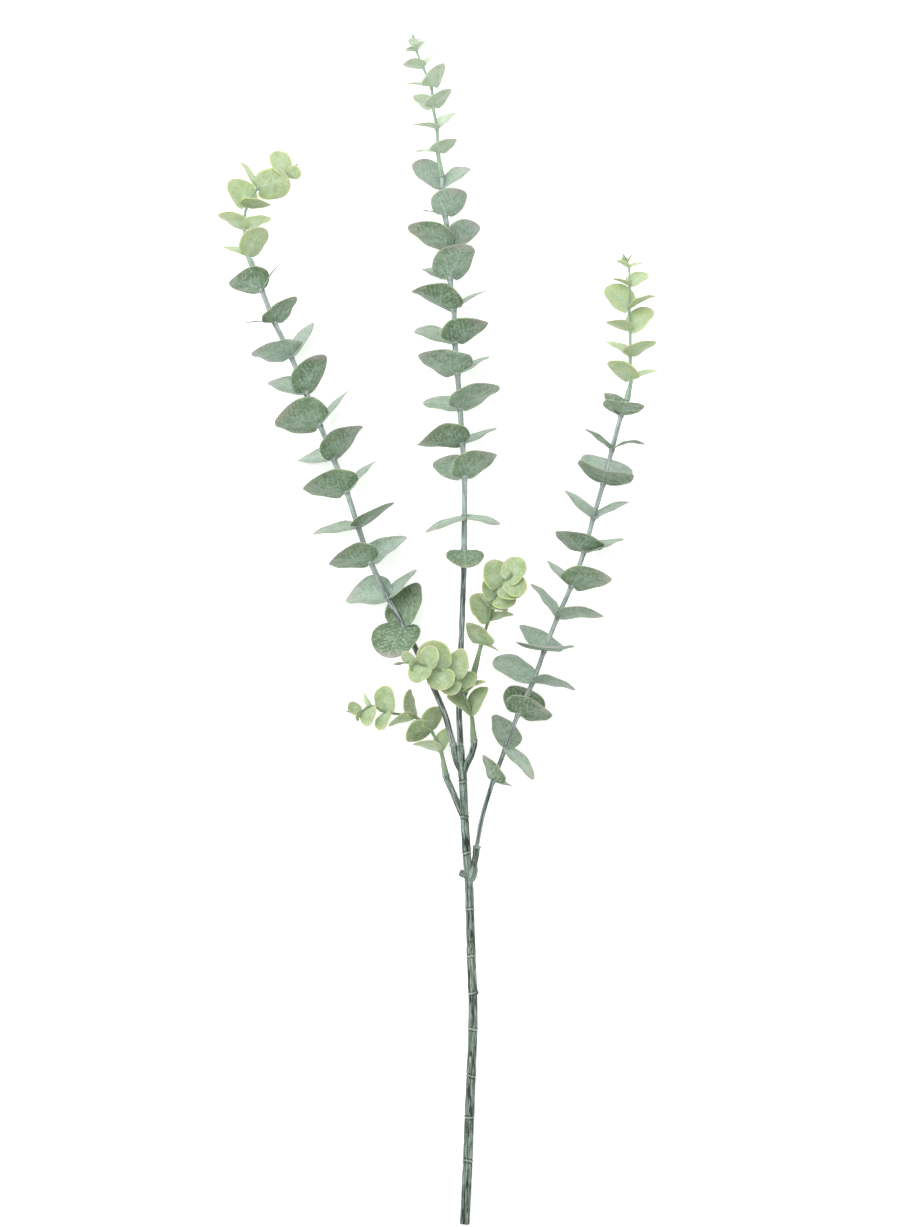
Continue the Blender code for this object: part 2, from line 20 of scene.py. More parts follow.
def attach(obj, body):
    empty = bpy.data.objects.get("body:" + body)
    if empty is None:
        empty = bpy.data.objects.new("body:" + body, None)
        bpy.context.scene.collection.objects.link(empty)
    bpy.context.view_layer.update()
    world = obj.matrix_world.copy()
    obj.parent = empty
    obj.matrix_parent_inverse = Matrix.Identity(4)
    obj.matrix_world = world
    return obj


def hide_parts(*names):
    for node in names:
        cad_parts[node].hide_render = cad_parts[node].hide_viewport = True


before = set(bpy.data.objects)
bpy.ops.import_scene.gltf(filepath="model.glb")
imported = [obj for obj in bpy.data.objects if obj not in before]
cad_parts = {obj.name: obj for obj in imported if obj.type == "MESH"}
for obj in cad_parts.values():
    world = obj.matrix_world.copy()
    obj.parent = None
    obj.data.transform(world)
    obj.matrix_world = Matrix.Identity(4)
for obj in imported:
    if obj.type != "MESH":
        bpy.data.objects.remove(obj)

LOG = logging.getLogger("eucalyptus")
MM = 0.001
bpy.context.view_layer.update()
ROOT_BODY = "root"
UP = Vector((0.0, 0.0, 1.0))

# The photograph's frame, and how large a pixel of it is at the branch
PHOTO_WIDTH = 900
PHOTO_HEIGHT = 1227
PIXEL_MM = 0.799
ORIGIN_PIXEL = (440.0, 629.0)
MIDDLE_HEIGHT_MM = 28.0
CAMERA_HEIGHT = 12.0
FILM_HEIGHT_MM = 36.0

# Stems
TRUNK_END_RADIUS = 3.5
TRUNK_FORK_RADIUS = 2.7
STUB_RADIUS = 2.2
FROND_BASE_RADIUS = 2.4
RIGHT_FROND_BASE_RADIUS = 1.8
FROND_END_RADIUS = 1.95
FROND_LEAF_WIDTH = 1.18
SPRIG_LEAF_WIDTH = 1.0
TIP_RADIUS = 0.45
JOINT_GAP = 0.3
PEG_RADIUS = 1.1
PEG_LENGTH = 6.0
PEG_ROOT = 1.5
PEG_CHAMFER = (0.4, 0.3)
PEG_SIDES = 12
STEM_SIDES = 18
STRAIGHT_BELOW_JOINT = 4.0
STRAIGHT_ABOVE_JOINT = 7.5
SLEEVE_MOUTH_RADIUS = 2.65
SLEEVE_MIDDLE_RADIUS = 2.25
SLEEVE_END_RADIUS = 1.6
CURVE_STEP_MM = 1.2
STRAIGHT_STEP_MM = 1.0

Colour = tuple[float, float, float, float]


def srgb(red: int, green: int, blue: int) -> Colour:
    """A colour given as it shows on screen, from 0 to 255, as linear values.

    Args:
        red: The red share.
        green: The green share.
        blue: The blue share.

    Returns:
        The linear colour with full alpha.
    """
    linear = []
    for share in (red / 255, green / 255, blue / 255):
        linear.append(share / 12.92 if share <= 0.04045 else ((share + 0.055) / 1.055) ** 2.4)
    return (*linear, 1.0)


class Socket(Enum):
    """The kinds of socket that the shader groups have."""

    VALUE = "NodeSocketFloat"
    VECTOR = "NodeSocketVector"


class NodeSheet:
    """A small helper that adds and links the nodes of one shader tree."""

    def __init__(self, tree: bpy.types.NodeTree) -> None:
        """Keep the tree that the nodes go into."""
        self.tree = tree

    def feed(self, node: bpy.types.Node, inputs: dict) -> None:
        """Fill or link a node's inputs.

        Args:
            node: The node.
            inputs: Socket names or numbers, each with a value or an output socket.
        """
        for name, value in inputs.items():
            if isinstance(value, bpy.types.NodeSocket):
                self.tree.links.new(value, node.inputs[name])
            else:
                node.inputs[name].default_value = value

    def add(self, kind: str, inputs: dict, **settings: object) -> bpy.types.NodeOutputs:
        """Add a node, set its options, and fill or link its inputs.

        Args:
            kind: The node's type name.
            inputs: Socket names or numbers, each with a value or an output socket.
            settings: The node's own options.

        Returns:
            The new node's outputs.
        """
        node = self.tree.nodes.new(kind)
        for name, value in settings.items():
            setattr(node, name, value)
        self.feed(node, inputs)
        return node.outputs

    def maths(self, operation: str, *values: object, clamp: bool = False) -> bpy.types.NodeSocket:
        """One step of arithmetic.

        Args:
            operation: The operation's name, such as ADD.
            values: Numbers or output sockets, in order.
            clamp: Whether the result is kept between 0 and 1.

        Returns:
            The result's socket.
        """
        inputs = dict(enumerate(values))
        return self.add("ShaderNodeMath", inputs, operation=operation, use_clamp=clamp)[0]

    def times(self, first: object, second: object) -> bpy.types.NodeSocket:
        """The product of two numbers or sockets."""
        return self.maths("MULTIPLY", first, second)

    def ramp(
        self, value: object, low: float, high: float, start: float = 0.0, end: float = 1.0
    ) -> bpy.types.NodeSocket:
        """Turn a value between low and high smoothly into one between start and end.

        Args:
            value: The output socket that is read.
            low: The value that gives start.
            high: The value that gives end.
            start: The result at low.
            end: The result at high.

        Returns:
            The result's socket.
        """
        inputs = {"Value": value, "From Min": low, "From Max": high, "To Min": start, "To Max": end}
        return self.add("ShaderNodeMapRange", inputs, interpolation_type="SMOOTHSTEP", clamp=True)["Result"]

    def mix(self, share: object, first: object, second: object) -> bpy.types.NodeSocket:
        """The mix of two colours, by how much of the second shows."""
        inputs = {0: share, 6: first, 7: second}
        return self.add("ShaderNodeMix", inputs, data_type="RGBA", clamp_factor=True)[2]

    def noise(self, place: object, size: object, detail: float = 3.0) -> bpy.types.NodeSocket:
        """Noise whose patches are about as wide as the size, in the place's own unit.

        Args:
            place: The position's socket.
            size: The patches' size, as a number or a socket.
            detail: How many finer layers it has.

        Returns:
            The noise's socket, from 0 to 1.
        """
        scale = self.maths("DIVIDE", 1.0, size)
        inputs = {"Vector": place, "Scale": scale, "Detail": detail, "Roughness": 0.55}
        return self.add("ShaderNodeTexNoise", inputs)["Fac"]

    def stored(self, name: str) -> bpy.types.NodeSocket:
        """The three values that the mesh stores under a name."""
        return self.add("ShaderNodeAttribute", {}, attribute_name=name)["Vector"]

    def parts(self, vector: bpy.types.NodeSocket) -> bpy.types.NodeOutputs:
        """The three numbers of a vector."""
        return self.add("ShaderNodeSeparateXYZ", {0: vector})


class ShaderGroups:
    """The effects that several finishes share, each built once as a node group."""

    def __init__(self) -> None:
        """Build the three groups."""
        self.veins = self.build_veins()
        self.mottle = self.build_mottle()
        self.streaks = self.build_streaks()

    @staticmethod
    def start(name: str, place: str, sizes: dict[str, float]) -> tuple[NodeSheet, dict]:
        """Start a group that reads a place and some sizes.

        Args:
            name: The group's name.
            place: The name of the socket that the place comes in by.
            sizes: The other sockets' names, each with its first value.

        Returns:
            The group's sheet, and its input node's outputs.
        """
        group = bpy.data.node_groups.new(name, "ShaderNodeTree")
        group.interface.new_socket(place, in_out="INPUT", socket_type=Socket.VECTOR.value)
        for title, value in sizes.items():
            socket = group.interface.new_socket(title, in_out="INPUT", socket_type=Socket.VALUE.value)
            socket.default_value = value
        return NodeSheet(group), group.nodes.new("NodeGroupInput").outputs

    @staticmethod
    def end(sheet: NodeSheet, results: dict) -> bpy.types.NodeTree:
        """Send a group's results out.

        Args:
            sheet: The group's sheet.
            results: The names of the sockets that come out, each with its value's socket.

        Returns:
            The group.
        """
        for title in results:
            sheet.tree.interface.new_socket(title, in_out="OUTPUT", socket_type=Socket.VALUE.value)
        sheet.feed(sheet.tree.nodes.new("NodeGroupOutput"), results)
        return sheet.tree

    def build_veins(self) -> bpy.types.NodeTree:
        """The midrib and the slanting side veins of a leaf, in its own millimetres.

        Returns:
            The group, whose Midrib and Side veins run from 0 to 1.
        """
        sizes = {"Midrib width": 0.6, "Vein spacing": 4.6, "Vein slant": 0.9}
        sheet, given = self.start("leaf_veins", "Leaf place", sizes)
        bend = sheet.noise(given["Leaf place"], 6.0, 1.0)
        broken = sheet.ramp(sheet.noise(given["Leaf place"], 4.0, 2.0), 0.38, 0.58)
        parts = sheet.parts(given["Leaf place"])
        aside = sheet.maths("ABSOLUTE", parts[0])
        rib = sheet.ramp(sheet.maths("DIVIDE", aside, given["Midrib width"]), 0.35, 1.0, 1.0, 0.0)
        along = sheet.maths("SUBTRACT", parts[1], sheet.times(aside, given["Vein slant"]))
        moved = sheet.maths("MULTIPLY_ADD", bend, 5.0, along)
        beat = sheet.maths("PINGPONG", sheet.maths("DIVIDE", moved, given["Vein spacing"]), 0.5)
        line = sheet.ramp(beat, 0.0, 0.1, 1.0, 0.0)
        fade = sheet.times(sheet.ramp(aside, 8.0, 15.0, 1.0, 0.1), broken)
        return self.end(sheet, {"Midrib": rib, "Side veins": sheet.times(line, fade)})

    def build_mottle(self) -> bpy.types.NodeTree:
        """Soft patches of powdery bloom and fine specks.

        Returns:
            The group, whose Patches and Specks run from 0 to 1.
        """
        sizes = {"Patch size": 6.5, "Speck size": 1.1, "Speck share": 0.4}
        sheet, given = self.start("bloom_mottle", "Place", sizes)
        broad = sheet.noise(given["Place"], given["Patch size"], 4.0)
        fine = sheet.noise(given["Place"], given["Speck size"], 2.0)
        threshold = sheet.maths("SUBTRACT", 1.0, given["Speck share"])
        over = sheet.maths("SUBTRACT", fine, sheet.times(threshold, 0.85))
        results = {"Patches": sheet.ramp(broad, 0.32, 0.68), "Specks": sheet.ramp(over, 0.0, 0.14)}
        return self.end(sheet, results)

    def build_streaks(self) -> bpy.types.NodeTree:
        """Streaks that run lengthwise along a stem.

        Returns:
            The group, whose Streaks and Specks run from 0 to 1.
        """
        sizes = {"Streak width": 1.1, "Streak length": 16.0}
        sheet, given = self.start("stem_streaks", "Stem place", sizes)
        squeeze = sheet.maths("DIVIDE", given["Streak width"], given["Streak length"])
        scale = sheet.add("ShaderNodeCombineXYZ", {0: 1.0, 1: 1.0, 2: squeeze})[0]
        stretch = {0: given["Stem place"], 1: scale}
        drawn = sheet.add("ShaderNodeVectorMath", stretch, operation="MULTIPLY")[0]
        lines = sheet.noise(drawn, given["Streak width"], 3.0)
        dots = sheet.noise(given["Stem place"], 0.9, 2.0)
        results = {"Streaks": sheet.ramp(lines, 0.43, 0.58), "Specks": sheet.ramp(dots, 0.52, 0.66)}
        return self.end(sheet, results)


def new_material(name: str) -> tuple[bpy.types.Material, NodeSheet, bpy.types.Node]:
    """Start a material.

    Args:
        name: Its name.

    Returns:
        The material, its sheet and its shader.
    """
    material = bpy.data.materials.new(name)
    material.use_nodes = True
    return material, NodeSheet(material.node_tree), material.node_tree.nodes["Principled BSDF"]


@dataclass(frozen=True)
class Finish:
    """What every finish has: its name, its slot in the record, and how it shines."""

    reads: ClassVar[tuple[str, ...]] = ()
    shine: ClassVar[dict[str, float]] = {}
    bump: ClassVar[dict[str, float]] = {"Strength": 0.6, "Distance": 0.0003}

    name: str
    slot: str
    roughness: float

    def paint(self, sheet: NodeSheet, groups: ShaderGroups) -> tuple[object, object, object]:
        """The colour, roughness and relief, which each kind of finish works out itself."""
        raise NotImplementedError

    def material(self, groups: ShaderGroups) -> bpy.types.Material:
        """Build the material.

        Args:
            groups: The shared shader groups.

        Returns:
            The material, which reads the values that the mesh stores.
        """
        material, sheet, shader = new_material(self.name)
        colour, rough, relief = self.paint(sheet, groups)
        normal = sheet.add("ShaderNodeBump", {"Height": relief, **self.bump})["Normal"]
        sheet.feed(shader, {"Base Color": colour, "Roughness": rough, "Normal": normal, **self.shine})
        return material


@dataclass(frozen=True)
class LeafFinish(Finish):
    """The finish of moulded leaves: mottled, veined, with a powdery bloom and a painted highlight near each
    leaf's middle, and a pale rim.
    """

    reads: ClassVar[tuple[str, ...]] = ("leaf_place", "leaf_look", "leaf_span")
    shine: ClassVar[dict[str, float]] = {
        "Sheen Weight": 0.12, "Sheen Roughness": 0.6, "Specular IOR Level": 0.35
    }

    outer_dark: Colour
    outer_pale: Colour
    inner_dark: Colour
    inner_pale: Colour
    # The bloom colour paints powdery bloom and also a painted highlight near the middle of each leaf
    bloom: Colour
    vein: Colour
    rim: Colour
    tip: Colour
    bloom_and_highlight_share: float
    vein_share: float
    midrib_share: float
    rim_share: float
    rim_width_mm: float
    tip_share: float
    speck_share: float
    frost_share: float

    def paint(self, sheet: NodeSheet, groups: ShaderGroups) -> tuple[object, object, object]:
        """Paint a leaf from its place, its look and its span.

        Args:
            sheet: The material's sheet.
            groups: The shared shader groups.

        Returns:
            The colour, the roughness and the relief.
        """
        place = sheet.stored("leaf_place")
        tone, outer, margin = sheet.parts(sheet.stored("leaf_look"))
        along, heart_highlight, fresh = sheet.parts(sheet.stored("leaf_span"))
        veins = sheet.add("ShaderNodeGroup", {"Leaf place": place}, node_tree=groups.veins)
        mottle = sheet.add("ShaderNodeGroup", {"Place": place}, node_tree=groups.mottle)
        patches, specks = mottle["Patches"], mottle["Specks"]
        depth = sheet.maths("ADD", tone, sheet.maths("MULTIPLY_ADD", patches, 0.6, -0.3), clamp=True)
        inside = sheet.mix(depth, self.inner_pale, self.inner_dark)
        outside = sheet.mix(depth, self.outer_pale, self.outer_dark)
        colour = sheet.mix(outer, inside, outside)
        # Powdery bloom with a painted highlight, strongest near the middle of the leaf, in the bloom colour
        cloud = sheet.ramp(sheet.noise(place, 5.0), 0.36, 0.62)
        powder_and_highlight = sheet.times(sheet.maths("MULTIPLY_ADD", cloud, 0.8, 0.2), heart_highlight)
        colour = sheet.mix(sheet.times(powder_and_highlight, self.bloom_and_highlight_share), colour, self.bloom)
        colour = sheet.mix(sheet.times(specks, self.speck_share), colour, self.outer_dark)
        frost = sheet.ramp(sheet.noise(place, 1.9), 0.5, 0.68, 0.0, self.frost_share)
        colour = sheet.mix(frost, colour, self.vein)
        lines = sheet.maths("MAXIMUM", sheet.times(veins["Midrib"], self.midrib_share), veins["Side veins"])
        colour = sheet.mix(sheet.times(lines, self.vein_share), colour, self.vein)
        rim = sheet.ramp(margin, 0.25 * self.rim_width_mm, self.rim_width_mm, self.rim_share, 0.0)
        edge = sheet.mix(sheet.ramp(sheet.noise(place, 16.0, 1.0), 0.45, 0.58), self.rim, self.tip)
        colour = sheet.mix(rim, colour, edge)
        blush = sheet.times(sheet.ramp(along, 0.72, 1.0), self.tip_share)
        colour = sheet.mix(sheet.times(blush, fresh), colour, self.tip)
        rough = sheet.maths("MULTIPLY_ADD", patches, 0.12, self.roughness)
        return colour, rough, sheet.maths("MULTIPLY_ADD", lines, 0.5, sheet.times(specks, 0.12))


@dataclass(frozen=True)
class StemFinish(Finish):
    """The finish of a moulded stem: lengthwise streaks, specks, pale rings, a dark cut, and painted shade in
    its grooves, creases and hollows.
    """

    reads: ClassVar[tuple[str, ...]] = ("stem_place", "stem_look")
    shine: ClassVar[dict[str, float]] = {"Specular IOR Level": 0.3}

    base: Colour
    # The groove colour: painted shade in the grooves, creases and hollows, and also the dark specks and the
    # dark cut end
    shaded_groove: Colour
    streak: Colour
    ring: Colour
    bark: Colour
    shaded_groove_share: float
    streak_share: float
    blotch_share: float

    def paint(self, sheet: NodeSheet, groups: ShaderGroups) -> tuple[object, object, object]:
        """Paint a stem from its place and its look.

        Args:
            sheet: The material's sheet.
            groups: The shared shader groups.

        Returns:
            The colour, the roughness and the relief.
        """
        place = sheet.stored("stem_place")
        ring, bark, shaded_groove = sheet.parts(sheet.stored("stem_look"))
        streaks = sheet.add("ShaderNodeGroup", {"Stem place": place}, node_tree=groups.streaks)
        lines, specks = streaks["Streaks"], streaks["Specks"]
        colour = sheet.mix(sheet.times(lines, self.streak_share), self.base, self.streak)
        blotch = sheet.times(sheet.ramp(sheet.noise(place, 5.5), 0.46, 0.62), self.blotch_share)
        worn = sheet.times(bark, sheet.maths("MULTIPLY_ADD", lines, -0.75, 1.0))
        colour = sheet.mix(sheet.maths("MAXIMUM", worn, blotch), colour, self.bark)
        # Dark specks, then painted shade in the grooves, creases and hollows, both in the groove colour; the
        # cut end takes it too
        colour = sheet.mix(sheet.times(specks, 0.45 * self.shaded_groove_share), colour, self.shaded_groove)
        colour = sheet.mix(sheet.times(shaded_groove, self.shaded_groove_share), colour, self.shaded_groove)
        colour = sheet.mix(sheet.times(ring, 0.8), colour, self.ring)
        rough = sheet.maths("MULTIPLY_ADD", specks, 0.15, self.roughness)
        return colour, rough, sheet.maths("MULTIPLY_ADD", lines, 0.6, sheet.times(specks, -0.3))


GREY_GREEN = LeafFinish(
    name="grey_green_leaf",
    slot="grey_green_leaf",
    outer_dark=srgb(78, 104, 66),
    outer_pale=srgb(126, 148, 114),
    inner_dark=srgb(122, 142, 120),
    inner_pale=srgb(158, 177, 162),
    bloom=srgb(158, 186, 170),
    vein=srgb(196, 212, 196),
    rim=srgb(182, 196, 158),
    tip=srgb(166, 159, 153),
    bloom_and_highlight_share=0.6,
    vein_share=0.8,
    midrib_share=0.35,
    rim_share=0.75,
    rim_width_mm=0.95,
    tip_share=0.65,
    speck_share=0.2,
    frost_share=0.38,
    roughness=0.55,
)
YELLOW_GREEN = LeafFinish(
    name="yellow_green_leaf",
    slot="yellow_green_leaf",
    outer_dark=srgb(128, 148, 100),
    outer_pale=srgb(168, 184, 136),
    inner_dark=srgb(138, 158, 108),
    inner_pale=srgb(172, 190, 142),
    bloom=srgb(174, 194, 172),
    vein=srgb(202, 216, 178),
    rim=srgb(200, 216, 140),
    tip=srgb(188, 184, 156),
    bloom_and_highlight_share=0.7,
    vein_share=0.45,
    midrib_share=0.25,
    rim_share=0.75,
    rim_width_mm=1.7,
    tip_share=0.3,
    speck_share=0.14,
    frost_share=0.3,
    roughness=0.5,
)
MINT_GREEN = LeafFinish(
    name="mint_green_leaf",
    slot="yellow_green_leaf",
    outer_dark=srgb(142, 160, 132),
    outer_pale=srgb(180, 196, 170),
    inner_dark=srgb(156, 174, 146),
    inner_pale=srgb(190, 205, 180),
    bloom=srgb(190, 208, 190),
    vein=srgb(210, 220, 198),
    rim=srgb(198, 208, 172),
    tip=srgb(192, 188, 176),
    bloom_and_highlight_share=0.5,
    vein_share=0.3,
    midrib_share=0.4,
    rim_share=0.6,
    rim_width_mm=1.0,
    tip_share=0.5,
    speck_share=0.08,
    frost_share=0.25,
    roughness=0.5,
)
TRUNK_BARK = StemFinish(
    name="trunk_bark",
    slot="stem_green",
    base=srgb(102, 118, 106),
    # The near-black groove colour is mostly painted shade in the grooves and creases
    shaded_groove=srgb(22, 30, 25),
    streak=srgb(158, 174, 162),
    ring=srgb(168, 184, 172),
    bark=srgb(66, 82, 70),
    shaded_groove_share=0.92,
    streak_share=0.85,
    blotch_share=0.35,
    roughness=0.62,
)
FROND_STEM = StemFinish(
    name="frond_stem",
    slot="grey_green_leaf",
    base=srgb(141, 152, 147),
    shaded_groove=srgb(70, 82, 76),
    streak=srgb(184, 197, 192),
    ring=srgb(160, 178, 168),
    bark=srgb(60, 72, 64),
    shaded_groove_share=0.6,
    streak_share=0.75,
    blotch_share=0.22,
    roughness=0.6,
)
TIP_STEM = StemFinish(
    name="tip_stem",
    slot="yellow_green_leaf",
    base=srgb(138, 160, 140),
    shaded_groove=srgb(104, 124, 104),
    streak=srgb(170, 190, 172),
    ring=srgb(176, 194, 172),
    bark=srgb(112, 132, 112),
    shaded_groove_share=0.4,
    streak_share=0.6,
    blotch_share=0.2,
    roughness=0.5,
)
SHOOT_STEM = StemFinish(
    name="shoot_stem",
    slot="yellow_green_leaf",
    base=srgb(122, 143, 112),
    shaded_groove=srgb(84, 104, 78),
    streak=srgb(146, 164, 136),
    ring=srgb(150, 170, 134),
    bark=srgb(92, 114, 86),
    shaded_groove_share=0.45,
    streak_share=0.6,
    blotch_share=0.25,
    roughness=0.5,
)


@dataclass(frozen=True)
class LeafOutline:
    """How a leaf's edge runs from its base to its tip. Widths are shares of its greatest.

    The taper narrows the blade evenly past its widest place, and a greater fullness leaves a
    blunter end. The back is how far the margins reach behind the node.
    """

    widest: float
    base_share: float
    taper: float
    fullness: float
    point_share: float
    back: float = 0.03
    breadth: float = 1.0
    point_start: float = 0.8

    def half_width(self, u: float) -> float:
        """The half width at a place along the blade.

        Args:
            u: The place, from 0 at the base to 1 at the tip.

        Returns:
            The half width, as a share of the greatest.
        """
        if u < self.widest:
            rise = math.sqrt(1 - (1 - u / self.widest) ** 2)
            return self.base_share + (1 - self.base_share) * rise
        full = self.shoulder(u)
        if u <= self.point_start:
            return full
        past = (u - self.point_start) / (1 - self.point_start)
        share = self.point_share * min(1.0, past * 2)
        return full * (1 - share) + self.shoulder(self.point_start) * (1 - past) * share

    def shoulder(self, u: float) -> float:
        """The half width past the widest place, before the tip is drawn to a point."""
        past = (u - self.widest) / (1 - self.widest)
        return (1 - self.taper * past) * math.sqrt(1 - past**self.fullness)


class Edge(Enum):
    """The outlines that the leaves have."""

    OVATE = LeafOutline(0.36, 0.18, 0.14, 2.1, 0.25)
    POINTED = LeafOutline(0.34, 0.16, 0.2, 2.0, 0.5)
    OVAL = LeafOutline(0.45, 0.24, 0.0, 2.1, 0.05, 0.04)
    ROUND = LeafOutline(0.46, 0.38, 0.0, 2.0, 0.0, 0.06)
    SPOON = LeafOutline(0.62, 0.14, 0.0, 2.0, 0.0)
    HULL = LeafOutline(0.32, 0.55, 0.06, 2.3, 0.05, 0.06)
    BOAT = LeafOutline(0.2, 0.68, 0.34, 2.8, 0.12, 0.05)
    SLIM = LeafOutline(0.38, 0.16, 0.14, 2.1, 0.3, 0.03, 0.75)


class Shade(Enum):
    """How deep a leaf's colour is: by the face that shows, or the same on both faces."""

    OWN = -1.0
    PALE = 0.0
    MIDDLE = 0.5
    DEEP = 1.0


# Short names for the rows of leaves
OVATE, POINTED, OVAL, ROUND, SPOON, HULL, BOAT, SLIM = Edge
OWN, PALE, MIDDLE, DEEP = Shade
Place = tuple[float, float, float]


@dataclass(frozen=True)
class Leaf:
    """One leaf: its tip from its node in millimetres, its roll in degrees, and its shape.

    The roll turns the blade from lying square across the stem towards lying flat. The cup, the
    breadth and the arch are shares of the usual ones.
    """

    x: float
    y: float
    z: float
    roll: float
    edge: Edge = OVATE
    cup: float = 1.0
    breadth: float = 1.0
    shade: Shade = OWN
    arch: float = 1.0


@dataclass(frozen=True)
class Pair:
    """Two opposite leaves and their node on the stem."""

    node: Place
    first: Leaf
    second: Leaf


@dataclass(frozen=True)
class Spray:
    """A leafy stem: what it starts from, its leaf pairs, and the tip of its bud if it has one.

    The bark runs from the joint up to the first place up the branch, and is gone by the second.
    """

    name: str
    lead: tuple[Place, ...]
    pairs: tuple[Pair, ...]
    base_radius: float
    end_radius: float
    leaf_width: float
    plugs_on: bool
    tone: float = 0.0
    bark: tuple[float, float] = (-1000.0, -999.0)
    bud: Place | None = None

    @property
    def joint(self) -> Vector:
        """Where the spray meets the stem that carries it."""
        return Vector(self.lead[0])

    @property
    def direction(self) -> Vector:
        """The way the spray sets off from its joint."""
        following = self.lead[1] if len(self.lead) > 1 else self.pairs[0].node
        return (Vector(following) - self.joint).normalized()


def frond(
    name: str, lead: tuple, bark: tuple, *pairs: Pair, base_radius: float = FROND_BASE_RADIUS
) -> Spray:
    """A grey-green frond, which carries a sprig at its tip.

    Args:
        name: The CAD node's name.
        lead: Its joint, and its control points up to the first leaf pair.
        bark: The places up the branch between which its bark fades out.
        pairs: Its leaf pairs, from the joint on.
        base_radius: Its radius at the joint.

    Returns:
        The spray.
    """
    return Spray(name, lead, pairs, base_radius, FROND_END_RADIUS, FROND_LEAF_WIDTH, False, bark=bark)


def sprig(name: str, joint: Place, tone: float, bud: Place, *pairs: Pair) -> Spray:
    """A yellow-green sprig, which is pushed over the peg at its joint.

    Args:
        name: The CAD node's name.
        joint: Where it meets the stem that carries it.
        tone: How much deeper its leaves are than usual.
        bud: The tip of its bud.
        pairs: Its leaf pairs, from the joint on.

    Returns:
        The spray.
    """
    return Spray(
        name, (joint,), pairs, SLEEVE_END_RADIUS, TIP_RADIUS, SPRIG_LEAF_WIDTH, True, tone, bud=bud
    )


# The trunk and its side stubs
TRUNK_ROUTE = (
    (19.8, -476.4, 3.4),
    (22.1, -425.6, 6.7),
    (23.4, -391.2, 9.0),
    (24.8, -359.2, 11.1),
    (26.2, -320.8, 13.6),
    (26.2, -291.2, 15.5),
    (25.0, -262.4, 17.4),
    (23.8, -224.0, 19.9),
    (23.2, -204.8, 21.2),
    (21.3, -179.2, 22.9),
    (19.5, -150.4, 24.8),
    (18.4, -121.6, 26.6),
    (17.1, -108.0, 27.5),
)
RINGS = (
    (-425.6, 0.8),
    (-390.6, 0.75),
    (-357.6, 0.6),
    (-320.0, 0.85),
    (-291.0, 0.7),
    (-261.6, 0.8),
    (-224.2, 0.7),
    (-178.9, 0.75),
    (-150.4, 0.15),
    (-121.6, 0.1),
)
LEFT_STUB = ((17.0, -113.0, 27.2), (13.8, -107.0, 27.6), (11.4, -98.4, 27.7))
RIGHT_STUB = ((24.0, -202.0, 21.0), (26.6, -194.0, 21.5), (27.4, -187.5, 22.0), (28.6, -181.0, 22.3))
RIGHT_STUB_FLARE = 0.45
SIDE_TWIG = ((18.8, -150.0, 24.8), (15.0, -142.0, 24.0), (9.6, -129.0, 22.0))
FORK_TWIG = ((18.2, -117.0, 26.8), (21.0, -109.0, 28.0), (25.2, -100.0, 29.4))
KNOB = ((23.0, -197.6, 21.4), (16.0, -194.6, 22.4))
NUB = ((26.2, -291.2, 15.5), (30.3, -290.4, 16.0))
KNUCKLE = ((23.9, -200.6, 21.0), (25.0, -197.0, 21.3), (26.0, -192.5, 21.5), (26.8, -187.5, 21.8))
KNUCKLE_RADII = (3.1, 4.1, 3.9, 2.5)
KNOB_RADIUS = 2.5
# Dents beside the knob and the fork, painted dark as shade: x, y and size
SHADED_DENTS = ((20.0, -198.6, 1.3), (23.0, -206.2, 1.2), (26.0, -188.3, 0.8), (28.4, -188.1, 0.8))
NUB_RADIUS = 1.3
SIDE_RING = 0.5
SIDE_RING_FLAT = 0.6
SIDE_RING_FADE = 1.2

# Where each leafy stem meets the stem that carries it
LEFT_JOINT = (10.3, -91.5, 27.7)
CENTRE_JOINT = (16.4, -92.8, 28.5)
RIGHT_JOINT = (29.5, -173.5, 22.8)
LEFT_SHOOT_JOINT = (4.6, -116.3, 19.6)
FRONT_SHOOT_JOINT = (27.0, -88.3, 31.2)
RIGHT_SHOOT_JOINT = (27.0, -35.2, 33.0)
LEFT_TIP_JOINT = (-149.0, 288.0, 23.0)
CENTRE_TIP_JOINT = (1.0, 361.0, 25.5)
RIGHT_TIP_JOINT = (149.5, 182.5, 25.5)

